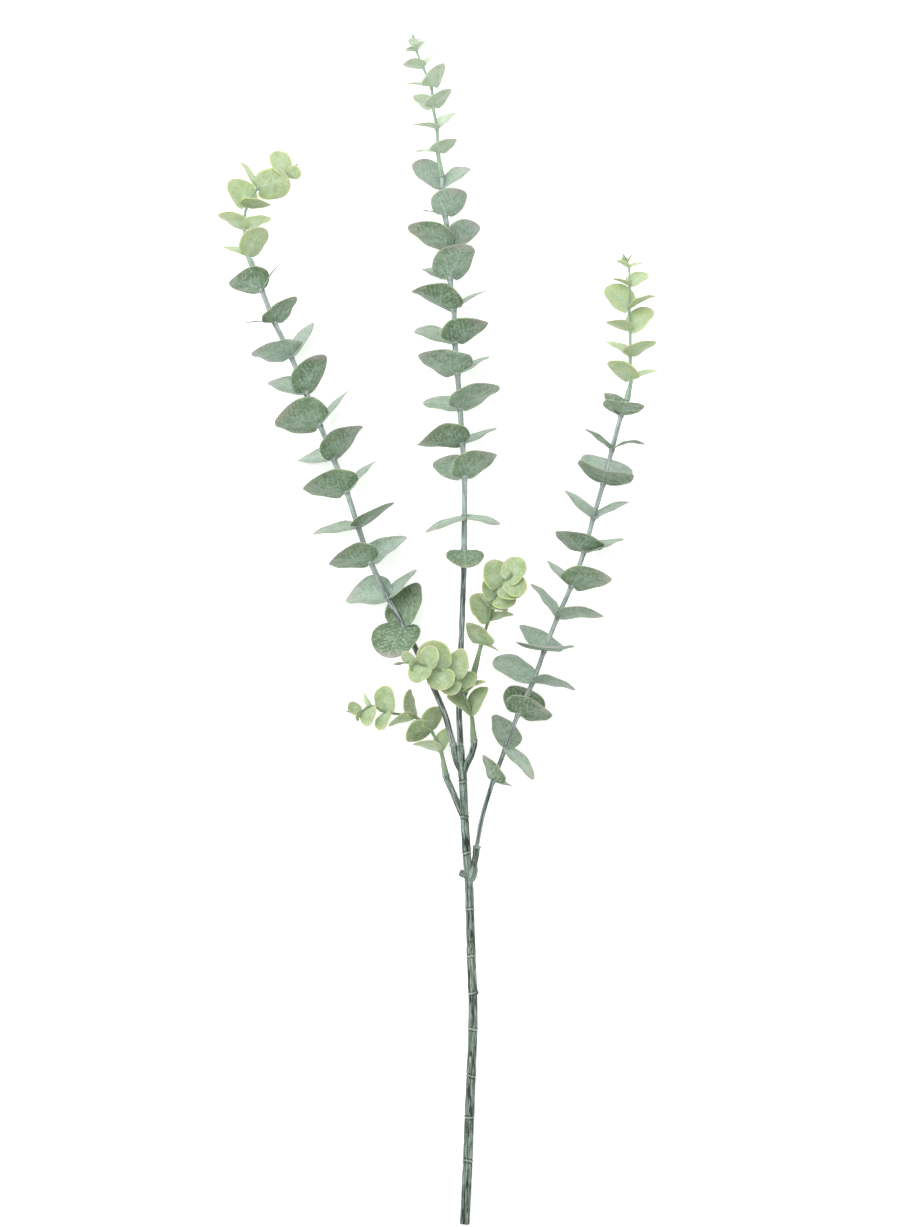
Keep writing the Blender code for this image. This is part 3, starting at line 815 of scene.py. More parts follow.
LEFT_FROND = frond(
    "left_frond",
    (LEFT_JOINT, (4.0, -68.8, 27.8), (-3.2, -51.2, 28.0), (-12.0, -32.8, 28.5), (-19.7, -15.2, 29.0)),
    (16.0, 48.0),
    Pair((-29.5, 2.5, 29.5), Leaf(10, 34.5, -12, 20, OVATE, 1.2, 0.93, DEEP),
         Leaf(-11.5, -25, 24, 36, ROUND, 1.0, 0.92, DEEP)),
    Pair((-41.5, 25, 30), Leaf(-32, 1.5, -14, 21, OVAL, 1.9), Leaf(22.5, 22.5, -4, 8, cup=0.1)),
    Pair((-55.5, 53.5, 31), Leaf(-30, 2.5, 18, 17, ROUND, 1.2), Leaf(28, 20.5, -10, 20, BOAT, 1.4)),
    Pair((-65.5, 82, 31), Leaf(28.5, 19, 8, 8, BOAT, 0.3), Leaf(-36, -5.5, -4, 10, cup=0.2, shade=MIDDLE)),
    Pair((-74.5, 109.5, 31), Leaf(-31.5, 6.5, 20, 16, HULL, 1.4), Leaf(22.5, 25, -6, 4, cup=0.3)),
    Pair((-85, 136, 31), Leaf(18.5, 26.5, 16, 12, OVAL, 1.4), Leaf(-26.5, 1, -31, 6, SLIM)),
    Pair((-96, 163, 30.5), Leaf(-32, 8.5, 19, 23, ROUND, 1.5, 0.97), Leaf(22.5, 27.5, -6, 4, cup=0.1)),
    Pair((-107, 188.5, 29.5), Leaf(11, 30.5, 14, 12, OVAL, 1.2, 0.9), Leaf(-29, 10, -16, 5, cup=0.85)),
    Pair((-119, 217.5, 28), Leaf(-30, 4.5, 21, 8, BOAT, 1.2, 0.92, PALE),
         Leaf(17, 27.5, -8, 9, cup=0.1, breadth=1.1)),
    Pair((-132, 244.5, 26.5), Leaf(16, 21, 12, 12, BOAT), Leaf(-23, 0.5, -6, -2, cup=0.2)),
    Pair((-142.5, 271, 24.5), Leaf(-21.5, 10, 16, 13, OVAL, 1.8, 1.02), Leaf(14, 21, -7, -2, cup=0.3)),
)
CENTRE_FROND = frond(
    "centre_frond",
    (
        CENTRE_JOINT,
        (15.2, -64.0, 28.3),
        (16.0, -40.0, 28.5),
        (16.8, -12.8, 29.0),
        (18.0, 18.0, 29.0),
        (19.0, 48.0, 29.0),
    ),
    (48.0, 58.0),
    Pair((19.2, 62.5, 29), Leaf(1.5, -13.5, 24, 0, OVAL, 0.8, 0.93, DEEP), Leaf(-2, -9, -24, 0, breadth=0.8)),
    Pair((19.5, 89.5, 30), Leaf(-31, -12, 4, 5, cup=0.0, shade=MIDDLE),
         Leaf(28.5, -5, -4, 9, SPOON, 0.0, 1.1, MIDDLE)),
    Pair((19.5, 121.5, 30.5), Leaf(21, 19.5, 17, 12, ROUND, 1.3, 0.98),
         Leaf(-19, 15.5, -19, 20, ROUND, 0.6, 0.92, MIDDLE)),
    Pair((18, 148, 31), Leaf(-34, 1.5, 20, 26, ROUND, 1.8, 0.86),
         Leaf(26.5, 13, -10, 1.5, cup=0.0, shade=MIDDLE)),
    Pair((16, 176, 31), Leaf(29.5, 18.5, 13, 14, HULL, 1.1, shade=MIDDLE),
         Leaf(-27, 7.5, -12, 14, SPOON, 0.0, shade=MIDDLE)),
    Pair((14, 204, 31), Leaf(-29.5, 16, 19, 15.5, BOAT, 1.6, 0.96, MIDDLE), Leaf(24.5, 14, -12, 0, cup=0.15)),
    Pair((12, 229, 30.5), Leaf(22.5, 17, 19, 15, HULL, 1.8, 0.92),
         Leaf(-31, 11, -8, 14, SPOON, 0.2, shade=MIDDLE)),
    Pair((11, 255, 30), Leaf(-31.5, 15.8, 15, 12, ROUND, 2.0, 0.86), Leaf(26.5, 16, -10, -1, cup=0.5)),
    Pair((8, 280, 29), Leaf(11, 27, 14, 6, ROUND, 1.4, shade=MIDDLE), Leaf(-17.5, 9, -17, 10, ROUND)),
    Pair((8, 305, 28), Leaf(-33, 17.5, 6, 19, cup=0.8, breadth=0.96),
         Leaf(21.5, 19, 5, 26, SPOON, 1.0, 0.95, PALE)),
    Pair((4, 331, 27), Leaf(10, 20.5, 12, 21, ROUND, 1.4, shade=PALE), Leaf(-15.5, 3.5, -14, 0)),
    Pair((1.5, 353, 26), Leaf(-21, 21, -4, 28, SPOON, 0.4), Leaf(22, 15.5, -4, 18, SPOON, 0.7)),
)
RIGHT_FROND = frond(
    "right_frond",
    (RIGHT_JOINT, (32.5, -156.0, 23.6), (35.7, -142.8, 24.4), (40.3, -128.0, 25.6)),
    (-108.0, -40.0),
    Pair((42.5, -121.3, 26.2), Leaf(-7, 20.5, 10, 4, BOAT, 1.5, shade=DEEP), Leaf(14.5, -4, -8, 6, cup=0.5)),
    Pair((52.5, -94.5, 27.5), Leaf(-6.5, 26, -12, 5, cup=1.3, shade=MIDDLE),
         Leaf(22.5, -25.5, 4, 10, cup=0.3, breadth=0.92, shade=MIDDLE)),
    Pair((62.5, -68, 28.5), Leaf(22, 4.5, 24, 14, HULL, shade=DEEP), Leaf(8, 20, -20, 0, ROUND, shade=DEEP)),
    Pair((74.5, -41.5, 29), Leaf(-29.5, 19, -8, 23, SPOON, 0.0),
         Leaf(33.5, -6.5, 4, 11, cup=0.6, shade=PALE)),
    Pair((83.5, -17, 29.5), Leaf(0, 3, 36, 17, OVAL, 0.6, 1.12, MIDDLE), Leaf(-16, 20.5, -22, 8, BOAT)),
    Pair((94, 9.5, 30), Leaf(-21, 27, -4, 6.5, cup=0.45), Leaf(36.5, 1, 4, 11, OVATE, 0.7, shade=MIDDLE)),
    Pair((105, 34.5, 30), Leaf(29.5, 8, 16, 12, HULL, 1.1), Leaf(-17.5, 20, -15, 0, cup=0.1)),
    Pair((115, 61.5, 30), Leaf(-18.5, 17, 26, 14, BOAT, 1.5, 0.96), Leaf(31.5, 10.8, -8, 0, cup=0.1)),
    Pair((122.5, 89, 29.5), Leaf(-21.5, 22, -12, 3, cup=0.1), Leaf(28, 13, -3, 9, SLIM, 0.3)),
    Pair((130.5, 116.5, 29), Leaf(1, 10.5, 39, 0, ROUND, 1.4, 0.98, DEEP), Leaf(3, 20, -31, 0, OVAL)),
    Pair((137.5, 143.5, 28), Leaf(-21.5, 16.5, 2, 5, SLIM, 0.2), Leaf(26.5, 4.2, -2, 3, cup=0.1, arch=4.0)),
    Pair((145, 171.5, 26.5), Leaf(3, 9.5, 27, 12, cup=1.3),
         Leaf(-10.5, 17.5, -12, 16, ROUND, 1.0, 0.85, DEEP)),
    base_radius=RIGHT_FROND_BASE_RADIUS,
)
LEFT_TIP = sprig(
    "left_tip",
    LEFT_TIP_JOINT,
    -0.3,
    (-113.5, 372.0, 24.0),
    Pair((-153.5, 298.5, 22.5), Leaf(12, 22, 8, 27, OVAL, breadth=0.97), Leaf(-20, 7, -10, 4, POINTED)),
    Pair((-156.5, 320, 22), Leaf(-19.5, 12, 9, 12, OVAL), Leaf(21, 9, -7, 20)),
    Pair((-154.5, 337.5, 22), Leaf(-10.5, 22.5, -9, 34, ROUND, breadth=0.97),
         Leaf(17.5, 2.5, 15, 5, HULL, shade=DEEP)),
    Pair((-145.5, 352, 22.5), Leaf(-13.5, 21.5, -5, 14, OVAL, 0.3, 0.66), Leaf(25.5, 6.5, 6, 52, ROUND)),
    Pair((-122.5, 365, 23.5), Leaf(-12, 15.5, 2, 52, ROUND), Leaf(11.5, -1, 4, 46, ROUND)),
)
CENTRE_TIP = sprig(
    "centre_tip",
    CENTRE_TIP_JOINT,
    -0.16,
    (-22.0, 476.0, 22.0),
    Pair((-1.5, 381, 24.5), Leaf(13.5, 10.5, 12, 12, BOAT), Leaf(-17.5, 1, -12, 6, POINTED)),
    Pair((-2.5, 400, 24), Leaf(14.5, 13, -7, 10), Leaf(-19.5, 3, 4, 4, BOAT)),
    Pair((-5.5, 417, 23.5), Leaf(13.5, 14.5, 9, 13, BOAT), Leaf(-15.5, 9.5, -6, 30, BOAT)),
    Pair((-7, 433.5, 23), Leaf(9.5, 18.5, 7, 17, BOAT), Leaf(-21.5, 2.5, -3, 5, BOAT)),
    Pair((-13.5, 449, 22.5), Leaf(-15, 3.5, 8, 10, OVAL), Leaf(8.5, 11, -7, 4)),
    Pair((-19, 462.5, 22), Leaf(-8, 1, 5, 10, OVAL), Leaf(7, 8.5, -5, 14)),
    Pair((-20, 466.5, 22), Leaf(-4.5, 5, 2, 30, OVAL), Leaf(3.5, 6, -2, 20, OVAL)),
)
RIGHT_TIP = sprig(
    "right_tip",
    RIGHT_TIP_JOINT,
    -0.6,
    (146.0, 300.5, 20.0),
    Pair((152.5, 199, 25), Leaf(-17, 15, 10, 14, HULL), Leaf(21.5, 8, -6, 8)),
    Pair((152, 219, 24), Leaf(-19.5, 11, -7, 12, BOAT), Leaf(20.5, 10.5, 8, 12, BOAT)),
    Pair((152, 238.5, 23), Leaf(-18.5, 7, 10, 8), Leaf(17, 17.5, -4, 36, ROUND)),
    Pair((151, 256, 22), Leaf(-17.5, 18, -4, 47, ROUND), Leaf(21, 10.5, 2, 3)),
    Pair((151.5, 274.5, 21), Leaf(14, 10, -7, 24, ROUND), Leaf(-14, 5.5, 4, 0)),
    Pair((151, 289, 20.5), Leaf(-9.5, 5.5, 3, 4, OVAL), Leaf(10.5, 3.5, -3, 10, OVAL)),
    Pair((149.5, 292, 20.4), Leaf(4.5, 7.5, 2, 0, SLIM), Leaf(-4, 5, -2, 10, OVAL)),
)
LEFT_SHOOT = sprig(
    "left_shoot",
    LEFT_SHOOT_JOINT,
    0.18,
    (-75.0, -66.0, 22.0),
    Pair((0.5, -97.5, 17.5), Leaf(-22, 6, 6, 5), Leaf(5.5, 19, -8, 14)),
    Pair((-8, -80, 17), Leaf(-19.5, -6, 7, 38, OVAL, breadth=1.1), Leaf(6, 18, 4, 36, OVAL, breadth=1.15)),
    Pair((-20, -70.5, 17.5), Leaf(-5, 22, 4, 22, OVAL), Leaf(-21, -6.5, 5, 8)),
    Pair((-43, -66.5, 19), Leaf(1, 21, 6, 50, ROUND), Leaf(-3, -14, 10, 34, OVAL)),
    Pair((-55, -61.5, 20.5), Leaf(-6, 10, -6, -3), Leaf(-3, -16, 5, 40, ROUND)),
    Pair((-63.5, -65.5, 21.5), Leaf(-10, 5, 3, 50, ROUND), Leaf(-3, -8, 3, 20, OVAL)),
)
FRONT_SHOOT = sprig(
    "front_shoot",
    FRONT_SHOOT_JOINT,
    0.34,
    (-37.0, -28.0, 69.0),
    Pair((24.8, -67.2, 41), Leaf(-19, 13.5, 6, 8), Leaf(13.5, 20.5, 6, 12, POINTED, breadth=1.1)),
    Pair((17.5, -49, 47), Leaf(9.5, 14.5, -5, 24, ROUND), Leaf(19, 7, 3, -6, SLIM)),
    Pair((12, -40, 52), Leaf(5.5, 24.5, -4, 30, OVATE, breadth=0.85),
         Leaf(-9, -11, 5, 54, ROUND, breadth=1.25)),
    Pair((0, -33, 59), Leaf(-11.5, 22.5, 4, 64, ROUND, breadth=1.12),
         Leaf(2.5, -15.5, 4, 50, ROUND, breadth=1.4)),
    Pair((-10.5, -29.5, 64), Leaf(6, 15.5, 6, 44, ROUND), Leaf(-12, -12, 6, 54, ROUND)),
    Pair((-21, -26.5, 67), Leaf(-8, 8.5, 3, 50, ROUND), Leaf(-3, -6, 4, 30, ROUND)),
)
RIGHT_SHOOT = sprig(
    "right_shoot",
    RIGHT_SHOOT_JOINT,
    0.36,
    (57.0, 45.0, 67.0),
    Pair((33, -12, 37), Leaf(-9.5, 17.5, 13, 22, BOAT, breadth=1.1), Leaf(14, -5.5, -5, -2)),
    Pair((38.5, 6.5, 41), Leaf(-13, 20.5, 4, 42, OVAL, breadth=0.93), Leaf(20, 5.5, -4, -5)),
    Pair((41, 17.5, 45), Leaf(-8.5, 11, -2, -6), Leaf(13, -3, 2, 0, OVAL)),
    Pair((43, 24, 48.5), Leaf(-5, 17, 3, 36, ROUND), Leaf(17.5, -1.5, 5, 42, ROUND)),
    Pair((47, 33.5, 54), Leaf(-6.5, 21.5, 2, 33, ROUND), Leaf(22, -1, 6, 35, ROUND)),
    Pair((53, 39, 61), Leaf(13.5, 16.5, 4, 24, ROUND, breadth=0.96), Leaf(15, -9.5, 4, 46, ROUND)),
)
SHOOT_TWIG = ((15.6, -62.0, 28.4), (18.5, -55.0, 29.4), (22.6, -45.5, 31.0))

TIPS = (LEFT_TIP, CENTRE_TIP, RIGHT_TIP)
SPRIGS = TIPS + (LEFT_SHOOT, FRONT_SHOOT, RIGHT_SHOOT)

# The bars of the main stem past its trunk: each stub with its spray and its flare, then plain lumps
STUBS = (
    (LEFT_STUB, LEFT_FROND, 0.0),
    (RIGHT_STUB, RIGHT_FROND, RIGHT_STUB_FLARE),
    (SIDE_TWIG, LEFT_SHOOT, 0.0),
    (FORK_TWIG, FRONT_SHOOT, 0.0),
)
LUMPS = (
    (KNUCKLE, KNUCKLE_RADII),
    (KNOB, (TRUNK_FORK_RADIUS, KNOB_RADIUS)),
    (NUB, (STUB_RADIUS, NUB_RADIUS)),
)
KNOB_BAR = 6


def vectors(rows: tuple) -> list[Vector]:
    """Rows of three numbers as vectors."""
    return [Vector(row) for row in rows]


def bell(off: float | np.ndarray, width: float, power: int = 2) -> float | np.ndarray:
    """A hump that is 1 where off is 0 and falls away past the width, more squarely at a higher power."""
    return np.exp(-((off / width) ** power))


def end_ring(left: float | np.ndarray) -> float | np.ndarray:
    """How raised the ring at a stub's end is, from 0 to 1, by the length left to that end."""
    return bell(np.maximum(left - SIDE_RING_FLAT, 0.0), SIDE_RING_FADE, 4)


def wander(place: float, seed: float) -> float:
    """Smooth noise from -1 to 1 along one line, which the seed picks."""
    return float(noise(Vector((place, seed * 7.31, seed * 3.17))))


@dataclass
class Route:
    """A stem's centre line, as points and radii in millimetres along its length."""

    points: list[Vector]
    radii: list[float]

    @staticmethod
    def curve(before: Vector, start: Vector, end: Vector, after: Vector, t: float) -> Vector:
        """One point of the smooth curve between start and end.

        Args:
            before: The control point before start.
            start: The control point where the stretch starts.
            end: The control point where the stretch ends.
            after: The control point after end.
            t: How far along the stretch the point is, from 0 to 1.

        Returns:
            The point.
        """
        return 0.5 * (
            2 * start
            + (end - before) * t
            + (2 * before - 5 * start + 4 * end - after) * t * t
            + (3 * start - before - 3 * end + after) * t * t * t
        )

    @classmethod
    def through(
        cls, controls: list[Vector], radii: list[float], straight_start: bool, straight_end: bool
    ) -> "Route":
        """The smooth curve through the controls, its first or last stretch left straight.

        Args:
            controls: The control points.
            radii: The radius at each control point.
            straight_start: Whether the first stretch is straight.
            straight_end: Whether the last stretch is straight.

        Returns:
            The route, at about a millimetre a step.
        """
        first = 1 if straight_start else 0
        last = len(controls) - (1 if straight_end else 0)
        inner, sizes = controls[first:last], radii[first:last]
        points: list[Vector] = []
        widths: list[float] = []
        if straight_start:
            points, widths = cls.straight(*controls[:2], *radii[:2])
        for index, (start, end) in enumerate(zip(inner, inner[1:])):
            before = inner[max(index - 1, 0)]
            after = inner[min(index + 2, len(inner) - 1)]
            steps = max(2, round((end - start).length / CURVE_STEP_MM))
            for step in range(steps):
                t = step / steps
                points.append(cls.curve(before, start, end, after, t))
                widths.append(sizes[index] + (sizes[index + 1] - sizes[index]) * t)
        if straight_end:
            end_points, end_widths = cls.straight(*controls[-2:], *radii[-2:])
            points += end_points
            widths += end_widths
        return cls(points + [controls[-1]], widths + [radii[-1]])

    @staticmethod
    def straight(start: Vector, end: Vector, first: float, last: float) -> tuple[list, list]:
        """The steps of a straight stretch, without its last point.

        Args:
            start: Where it starts.
            end: Where it ends.
            first: The radius at its start.
            last: The radius at its end.

        Returns:
            The points and the radii.
        """
        steps = max(2, round((end - start).length / STRAIGHT_STEP_MM))
        shares = [step / steps for step in range(steps)]
        return [start.lerp(end, t) for t in shares], [first + (last - first) * t for t in shares]

    def lengths(self) -> list[float]:
        """How far along the stem each point is."""
        steps = [(end - start).length for start, end in zip(self.points, self.points[1:])]
        return list(accumulate(steps, initial=0.0))

    def length_at(self, place: float) -> float:
        """How far along the stem a place is.

        Args:
            place: The place up the branch, in millimetres.

        Returns:
            The length, in millimetres.
        """
        index = next(number for number, point in enumerate(self.points) if point.y > place)
        start, end = self.points[index - 1], self.points[index]
        share = (place - start.y) / (end.y - start.y)
        return self.lengths()[index - 1] + (end - start).length * share

    def axes(self) -> list[tuple[Vector, Vector, Vector]]:
        """The stem's own axes, which turn about it as little as can be.

        Returns:
            Three axes at each point: along the stem, and two square to it.
        """
        axes = []
        side = None
        last = len(self.points) - 1
        for index in range(last + 1):
            along = self.points[min(index + 1, last)] - self.points[max(index - 1, 0)]
            along.normalize()
            if side is None:
                side = along.cross(UP)
            side = (side - along * side.dot(along)).normalized()
            axes.append((along, side, side.cross(along)))
        return axes

    def steps(self) -> list[tuple[Vector, float, float, Vector, Vector]]:
        """Each point with its radius, its length along the stem, and the two axes square to it."""
        rows = zip(self.points, self.radii, self.lengths(), self.axes())
        return [(point, radius, length, side, up) for point, radius, length, (_, side, up) in rows]


@dataclass
class Skin:
    """A surface as it is being made: its points, faces, and the values that its finish reads."""

    points: list[np.ndarray] = field(default_factory=list)
    faces: list[tuple[int, ...]] = field(default_factory=list)
    values: list[tuple[np.ndarray, ...]] = field(default_factory=list)
    count: int = 0

    def add(self, points: np.ndarray, faces: list, *values: np.ndarray) -> None:
        """Add a part of the surface.

        Args:
            points: Its points in millimetres.
            faces: Its faces, by the numbers of its own points.
            values: The values that the finish reads, each with a row of three for every point.
        """
        self.points.append(points)
        self.values.append(values)
        self.faces.extend(tuple(corner + self.count for corner in face) for face in faces)
        self.count += len(points)

    def mesh(self) -> bpy.types.Mesh:
        """The surface as a mesh.

        Returns:
            The mesh, in metres.
        """
        mesh = bpy.data.meshes.new("surface")
        mesh.from_pydata((np.concatenate(self.points) * MM).tolist(), [], self.faces)
        return mesh

    def columns(self) -> list[np.ndarray]:
        """The finish's values over the whole surface."""
        return [np.concatenate(column) for column in zip(*self.values)]


def stand(name: str, data: object) -> bpy.types.Object:
    """Make an object and put it in the scene.

    Args:
        name: Its name.
        data: Its mesh, light or camera.

    Returns:
        The object.
    """
    obj = bpy.data.objects.new(name, data)
    bpy.context.scene.collection.objects.link(obj)
    return obj


def settle(piece: bpy.types.Object, node: str) -> None:
    """Put a piece in a CAD node's place.

    Args:
        piece: The piece.
        node: The CAD node that it stands for.
    """
    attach(piece, ROOT_BODY)
    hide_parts(node)
    LOG.info("%s: %d faces", piece.name, len(piece.data.polygons))


@dataclass
class Dresser:
    """Turns meshes into finished pieces, and builds each finish's material once."""

    groups: ShaderGroups
    materials: dict[str, bpy.types.Material] = field(default_factory=dict)

    def dress(
        self, name: str, mesh: bpy.types.Mesh, columns: list[np.ndarray], finish: Finish, node: str
    ) -> bpy.types.Object:
        """Dress a mesh and put it in a CAD node's place.

        Args:
            name: The piece's name.
            mesh: Its mesh.
            columns: The values that the finish reads, with a row for each point.
            finish: The finish.
            node: The CAD node that it stands for.

        Returns:
            The piece, smooth shaded.
        """
        for title, rows in zip(finish.reads, columns):
            layer = mesh.attributes.new(title, "FLOAT_VECTOR", "POINT")
            layer.data.foreach_set("vector", rows.astype(np.float32).ravel())
        if finish.name not in self.materials:
            self.materials[finish.name] = finish.material(self.groups)
        mesh.name = name
        mesh.materials.append(self.materials[finish.name])
        mesh.shade_smooth()
        mesh.validate()
        mesh.update()
        piece = stand(name, mesh)
        settle(piece, node)
        return piece


@dataclass(frozen=True)
class LeafForm:
    """The form that the moulded leaves share."""

    middle_thickness: float = 0.62
    edge_thickness: float = 0.34
    arch: float = 0.035
    cup: float = 0.05
    fold: float = 0.035
    fold_round: float = 0.12
    root_start: float = 0.2
    wave: float = 0.014
    wave_count: float = 1.2
    uneven: float = 0.05
    recurve: float = 0.02
    recurve_from: float = 0.7
    rib_height: float = 0.24
    rib_width: float = 0.75
    rib_top_share: float = 0.7
    full_rib_length: float = 22.0
    # Where the pale patch of powdery bloom and painted highlight lies on each leaf, and how much of it deep
    # leaves keep
    heart_place: float = 0.32
    heart_length: float = 0.34
    heart_width: float = 0.62
    deep_bloom_and_highlight: float = 0.55
    faint_blush: float = 0.25
    blush_above: float = 0.35
    tone_low: float = 0.3
    tone_spread: float = 0.4
    underside_tone: float = 0.12
    shade_spread: float = 0.4
    tip_margin: float = 1.2
    root_margin: float = 3.0
    root_share: float = 0.07
    pattern_step: float = 37.0
    underside_step: float = 11.0
    rows: int = 24
    columns: int = 8

    def stations(self) -> list[float]:
        """The places along the blade, closer together at its base and tip."""
        return [(1 - math.cos(math.pi * row / self.rows)) / 2 for row in range(self.rows)] + [1.0]

    def lanes(self) -> list[float]:
        """The places across the blade, closer together at its midrib and its edges.

        Returns:
            The places, from -1 to 1.
        """
        half = []
        for lane in range(1, self.columns + 1):
            share = lane / self.columns
            half.append(0.45 * share**2.2 + 0.55 * math.sin(share * math.pi / 2) ** 1.6)
        return [-share for share in reversed(half)] + [0.0] + half

    @staticmethod
    def axes(tangent: Vector, reach: Vector, roll: float) -> tuple[Vector, Vector, Vector]:
        """The blade's own axes: along it, across it, and out of its inner face.

        Args:
            tangent: The way the stem runs at the leaf's node.
            reach: From the node to the leaf's tip.
            roll: The leaf's turn about its own length, in degrees.

        Returns:
            The three axes.
        """
        along = reach.normalized()
        across = tangent.cross(along).normalized()
        inner = along.cross(across)
        turn = math.radians(roll) * (-1 if across.z * inner.z > 0 else 1)
        across = across * math.cos(turn) + inner * math.sin(turn)
        return along, across, along.cross(across)

    def rise(self, u: float, spread: float, width: float, leaf: Leaf) -> float:
        """How far the blade lies towards its inner side, as a share of its length.

        Args:
            u: How far along the blade, from 0 to 1.
            spread: How far aside, as a share of the greatest half width.
            width: The blade's width as a share of its length.
            leaf: The leaf, with its own shares of the arch and the cup.

        Returns:
            The share.
        """
        folded = math.hypot(spread, self.fold_round) - self.fold_round
        bowl = leaf.cup * width * (self.cup * spread**2 + self.fold * folded)
        return leaf.arch * self.arch * math.sin(math.pi * u) + bowl

    def grow(
        self, skin: Skin, node: Vector, tangent: Vector, leaf: Leaf, width: float, seed: int, depth: float
    ) -> None:
        """Add one leaf, as a closed thin shell that is arched, cupped, ribbed and a little wavy.

        Args:
            skin: The surface that it is added to.
            node: Where it leaves the stem.
            tangent: The way the stem runs there.
            leaf: Its reach, roll and shape.
            width: The usual width as a share of the length.
            seed: Its number, which sets its own small turns of form and tone.
            depth: How much deeper its tone is than usual.
        """
        reach = Vector((leaf.x, leaf.y, leaf.z))
        outline = leaf.edge.value
        width *= leaf.breadth * outline.breadth
        length = reach.length
        along, across, inner = self.axes(tangent, reach, leaf.roll)
        root = node + along * self.root_start
        phase, beat, curl, tone, lean = np.random.default_rng(seed).uniform(0, 1, 5)
        # How strong the pale patch of bloom and painted highlight is on this leaf
        bloom = self.deep_bloom_and_highlight if leaf.shade is DEEP else 1.0
        blush = 1.0 if curl > self.blush_above else self.faint_blush
        lanes = self.lanes()
        upper, lower, places, margins, spans = [], [], [], [], []
        for u in self.stations():
            half = outline.half_width(u)
            reach_aside = half * length * width / 2
            rib_fade = min(1.0, (1 - u) * 3) * min(1.0, length / self.full_rib_length)
            past = max(0.0, (u - self.recurve_from) / (1 - self.recurve_from))
            recurve = self.recurve * length * curl * past**2
            for v in lanes if u < 1 else [0.0]:
                own = 1 + self.uneven * ((lean - 0.5) * v + 0.4 * math.sin(9 * u + 6 * phase + v))
                aside = v * reach_aside * own
                turns = (self.wave_count + beat) * u + phase + (0.3 if v > 0 else 0.0)
                swing = self.wave * math.sin(2 * math.pi * turns) * v * v * half
                rise = length * (self.rise(u, v * half, width, leaf) + swing) - recurve
                place = length * (u - outline.back * v * v * (1 - u) ** 3)
                thick = self.edge_thickness + (self.middle_thickness - self.edge_thickness) * (1 - v * v)
                rib = bell(aside, self.rib_width) * rib_fade * self.rib_height
                middle = root + along * place + across * aside + inner * rise
                top = middle + inner * (thick / 2 - rib * self.rib_top_share)
                bottom = middle - inner * (thick / 2 + rib)
                lift = UP * max(-min(top.z, bottom.z), 0.0)
                upper.append(tuple(top + lift))
                lower.append(tuple(bottom + lift))
                places.append((aside, place, seed * self.pattern_step))
                margin = min((1 - abs(v)) * reach_aside, (1 - u) * length * self.tip_margin)
                margins.append(max(margin, self.root_margin * (1 - u / self.root_share)))
                # A pale patch near the middle of the blade: powdery bloom and a painted highlight
                heart_highlight = bell(u - self.heart_place, self.heart_length) * bell(v * half, self.heart_width)
                spans.append((u, heart_highlight * bloom, blush))
        count = len(upper)
        look = np.zeros((2 * count, 3))
        look[:, 0] = self.tone_low + self.tone_spread * tone + depth
        look[count:, 0] += self.underside_tone
        look[count:, 1] = 1.0
        if leaf.shade is not OWN:
            look[:, 1] = leaf.shade.value
            look[:, 0] += self.shade_spread * (leaf.shade.value - 0.5)
        look[:, 2] = margins + margins
        place = np.array(places + places)
        place[count:, 2] += self.underside_step
        skin.add(np.array(upper + lower), self.faces(len(lanes), count), place, look, np.array(spans + spans))

    def faces(self, lanes: int, count: int) -> list[tuple[int, ...]]:
        """The faces of a closed blade whose last row is a single point.

        Args:
            lanes: How many points a row has.
            count: How many points each side has.

        Returns:
            The faces, turned outwards.
        """
        faces = []
        tip = count - 1
        for row in range(self.rows - 1):
            for lane in range(lanes - 1):
                a = row * lanes + lane
                b, c, d = a + lanes, a + lanes + 1, a + 1
                faces.append((a, b, c, d))
                faces.append((a + count, d + count, c + count, b + count))
            left = row * lanes
            right = left + lanes - 1
            faces.append((left, left + count, left + lanes + count, left + lanes))
            faces.append((right, right + lanes, right + lanes + count, right + count))
        start = (self.rows - 1) * lanes
        for lane in range(lanes - 1):
            faces.append((start + lane, tip, start + lane + 1))
            faces.append((start + lane + count, start + lane + 1 + count, tip + count))
        faces.append((start, start + count, tip + count, tip))
        end = start + lanes - 1
        faces.append((end, tip, tip + count, end + count))
        for lane in range(lanes - 1):
            faces.append((lane, lane + 1, lane + 1 + count, lane + count))
        return faces


def ring_rows(
    skin: Skin,
    rows: list[tuple[Vector, Vector, Vector, float]],
    lengths: list[float],
    looks: list[tuple[float, float, float]],
    sides: int,
    seed: float,
) -> None:
    """Add a closed round skin over rows of rings.

    Args:
        skin: The surface that it is added to.
        rows: Each ring's centre, its two axes and its radius.
        lengths: How far along the stem each ring is.
        looks: The finish's three values at each ring.
        sides: How many points a ring has.
        seed: A number that sets where the finish's pattern starts.
    """
    points, places, values, faces = [], [], [], []
    for (centre, side, up, radius), length, look in zip(rows, lengths, looks):
        for corner in range(sides):
            angle = 2 * math.pi * corner / sides
            aside, above = radius * math.cos(angle), radius * math.sin(angle)
            point = centre + side * aside + up * above
            points.append((point.x, point.y, max(point.z, 0.0)))
            places.append((aside, above, length + seed))
            values.append(look)
    for ring in range(len(rows) - 1):
        for corner in range(sides):
            a = ring * sides + corner
            b = ring * sides + (corner + 1) % sides
            faces.append((a, a + sides, b + sides, b))
    for ring, turned in ((0, False), (len(rows) - 1, True)):
        centre = rows[ring][0]
        middle = len(points)
        points.append((centre.x, centre.y, max(centre.z, 0.0)))
        places.append((0.0, 0.0, lengths[ring] + seed))
        values.append(looks[ring])
        for corner in range(sides):
            a, b = ring * sides + corner, ring * sides + (corner + 1) % sides
            faces.append((middle, b, a) if turned else (middle, a, b))
    skin.add(np.array(points), faces, np.array(places), np.array(values, dtype=float))


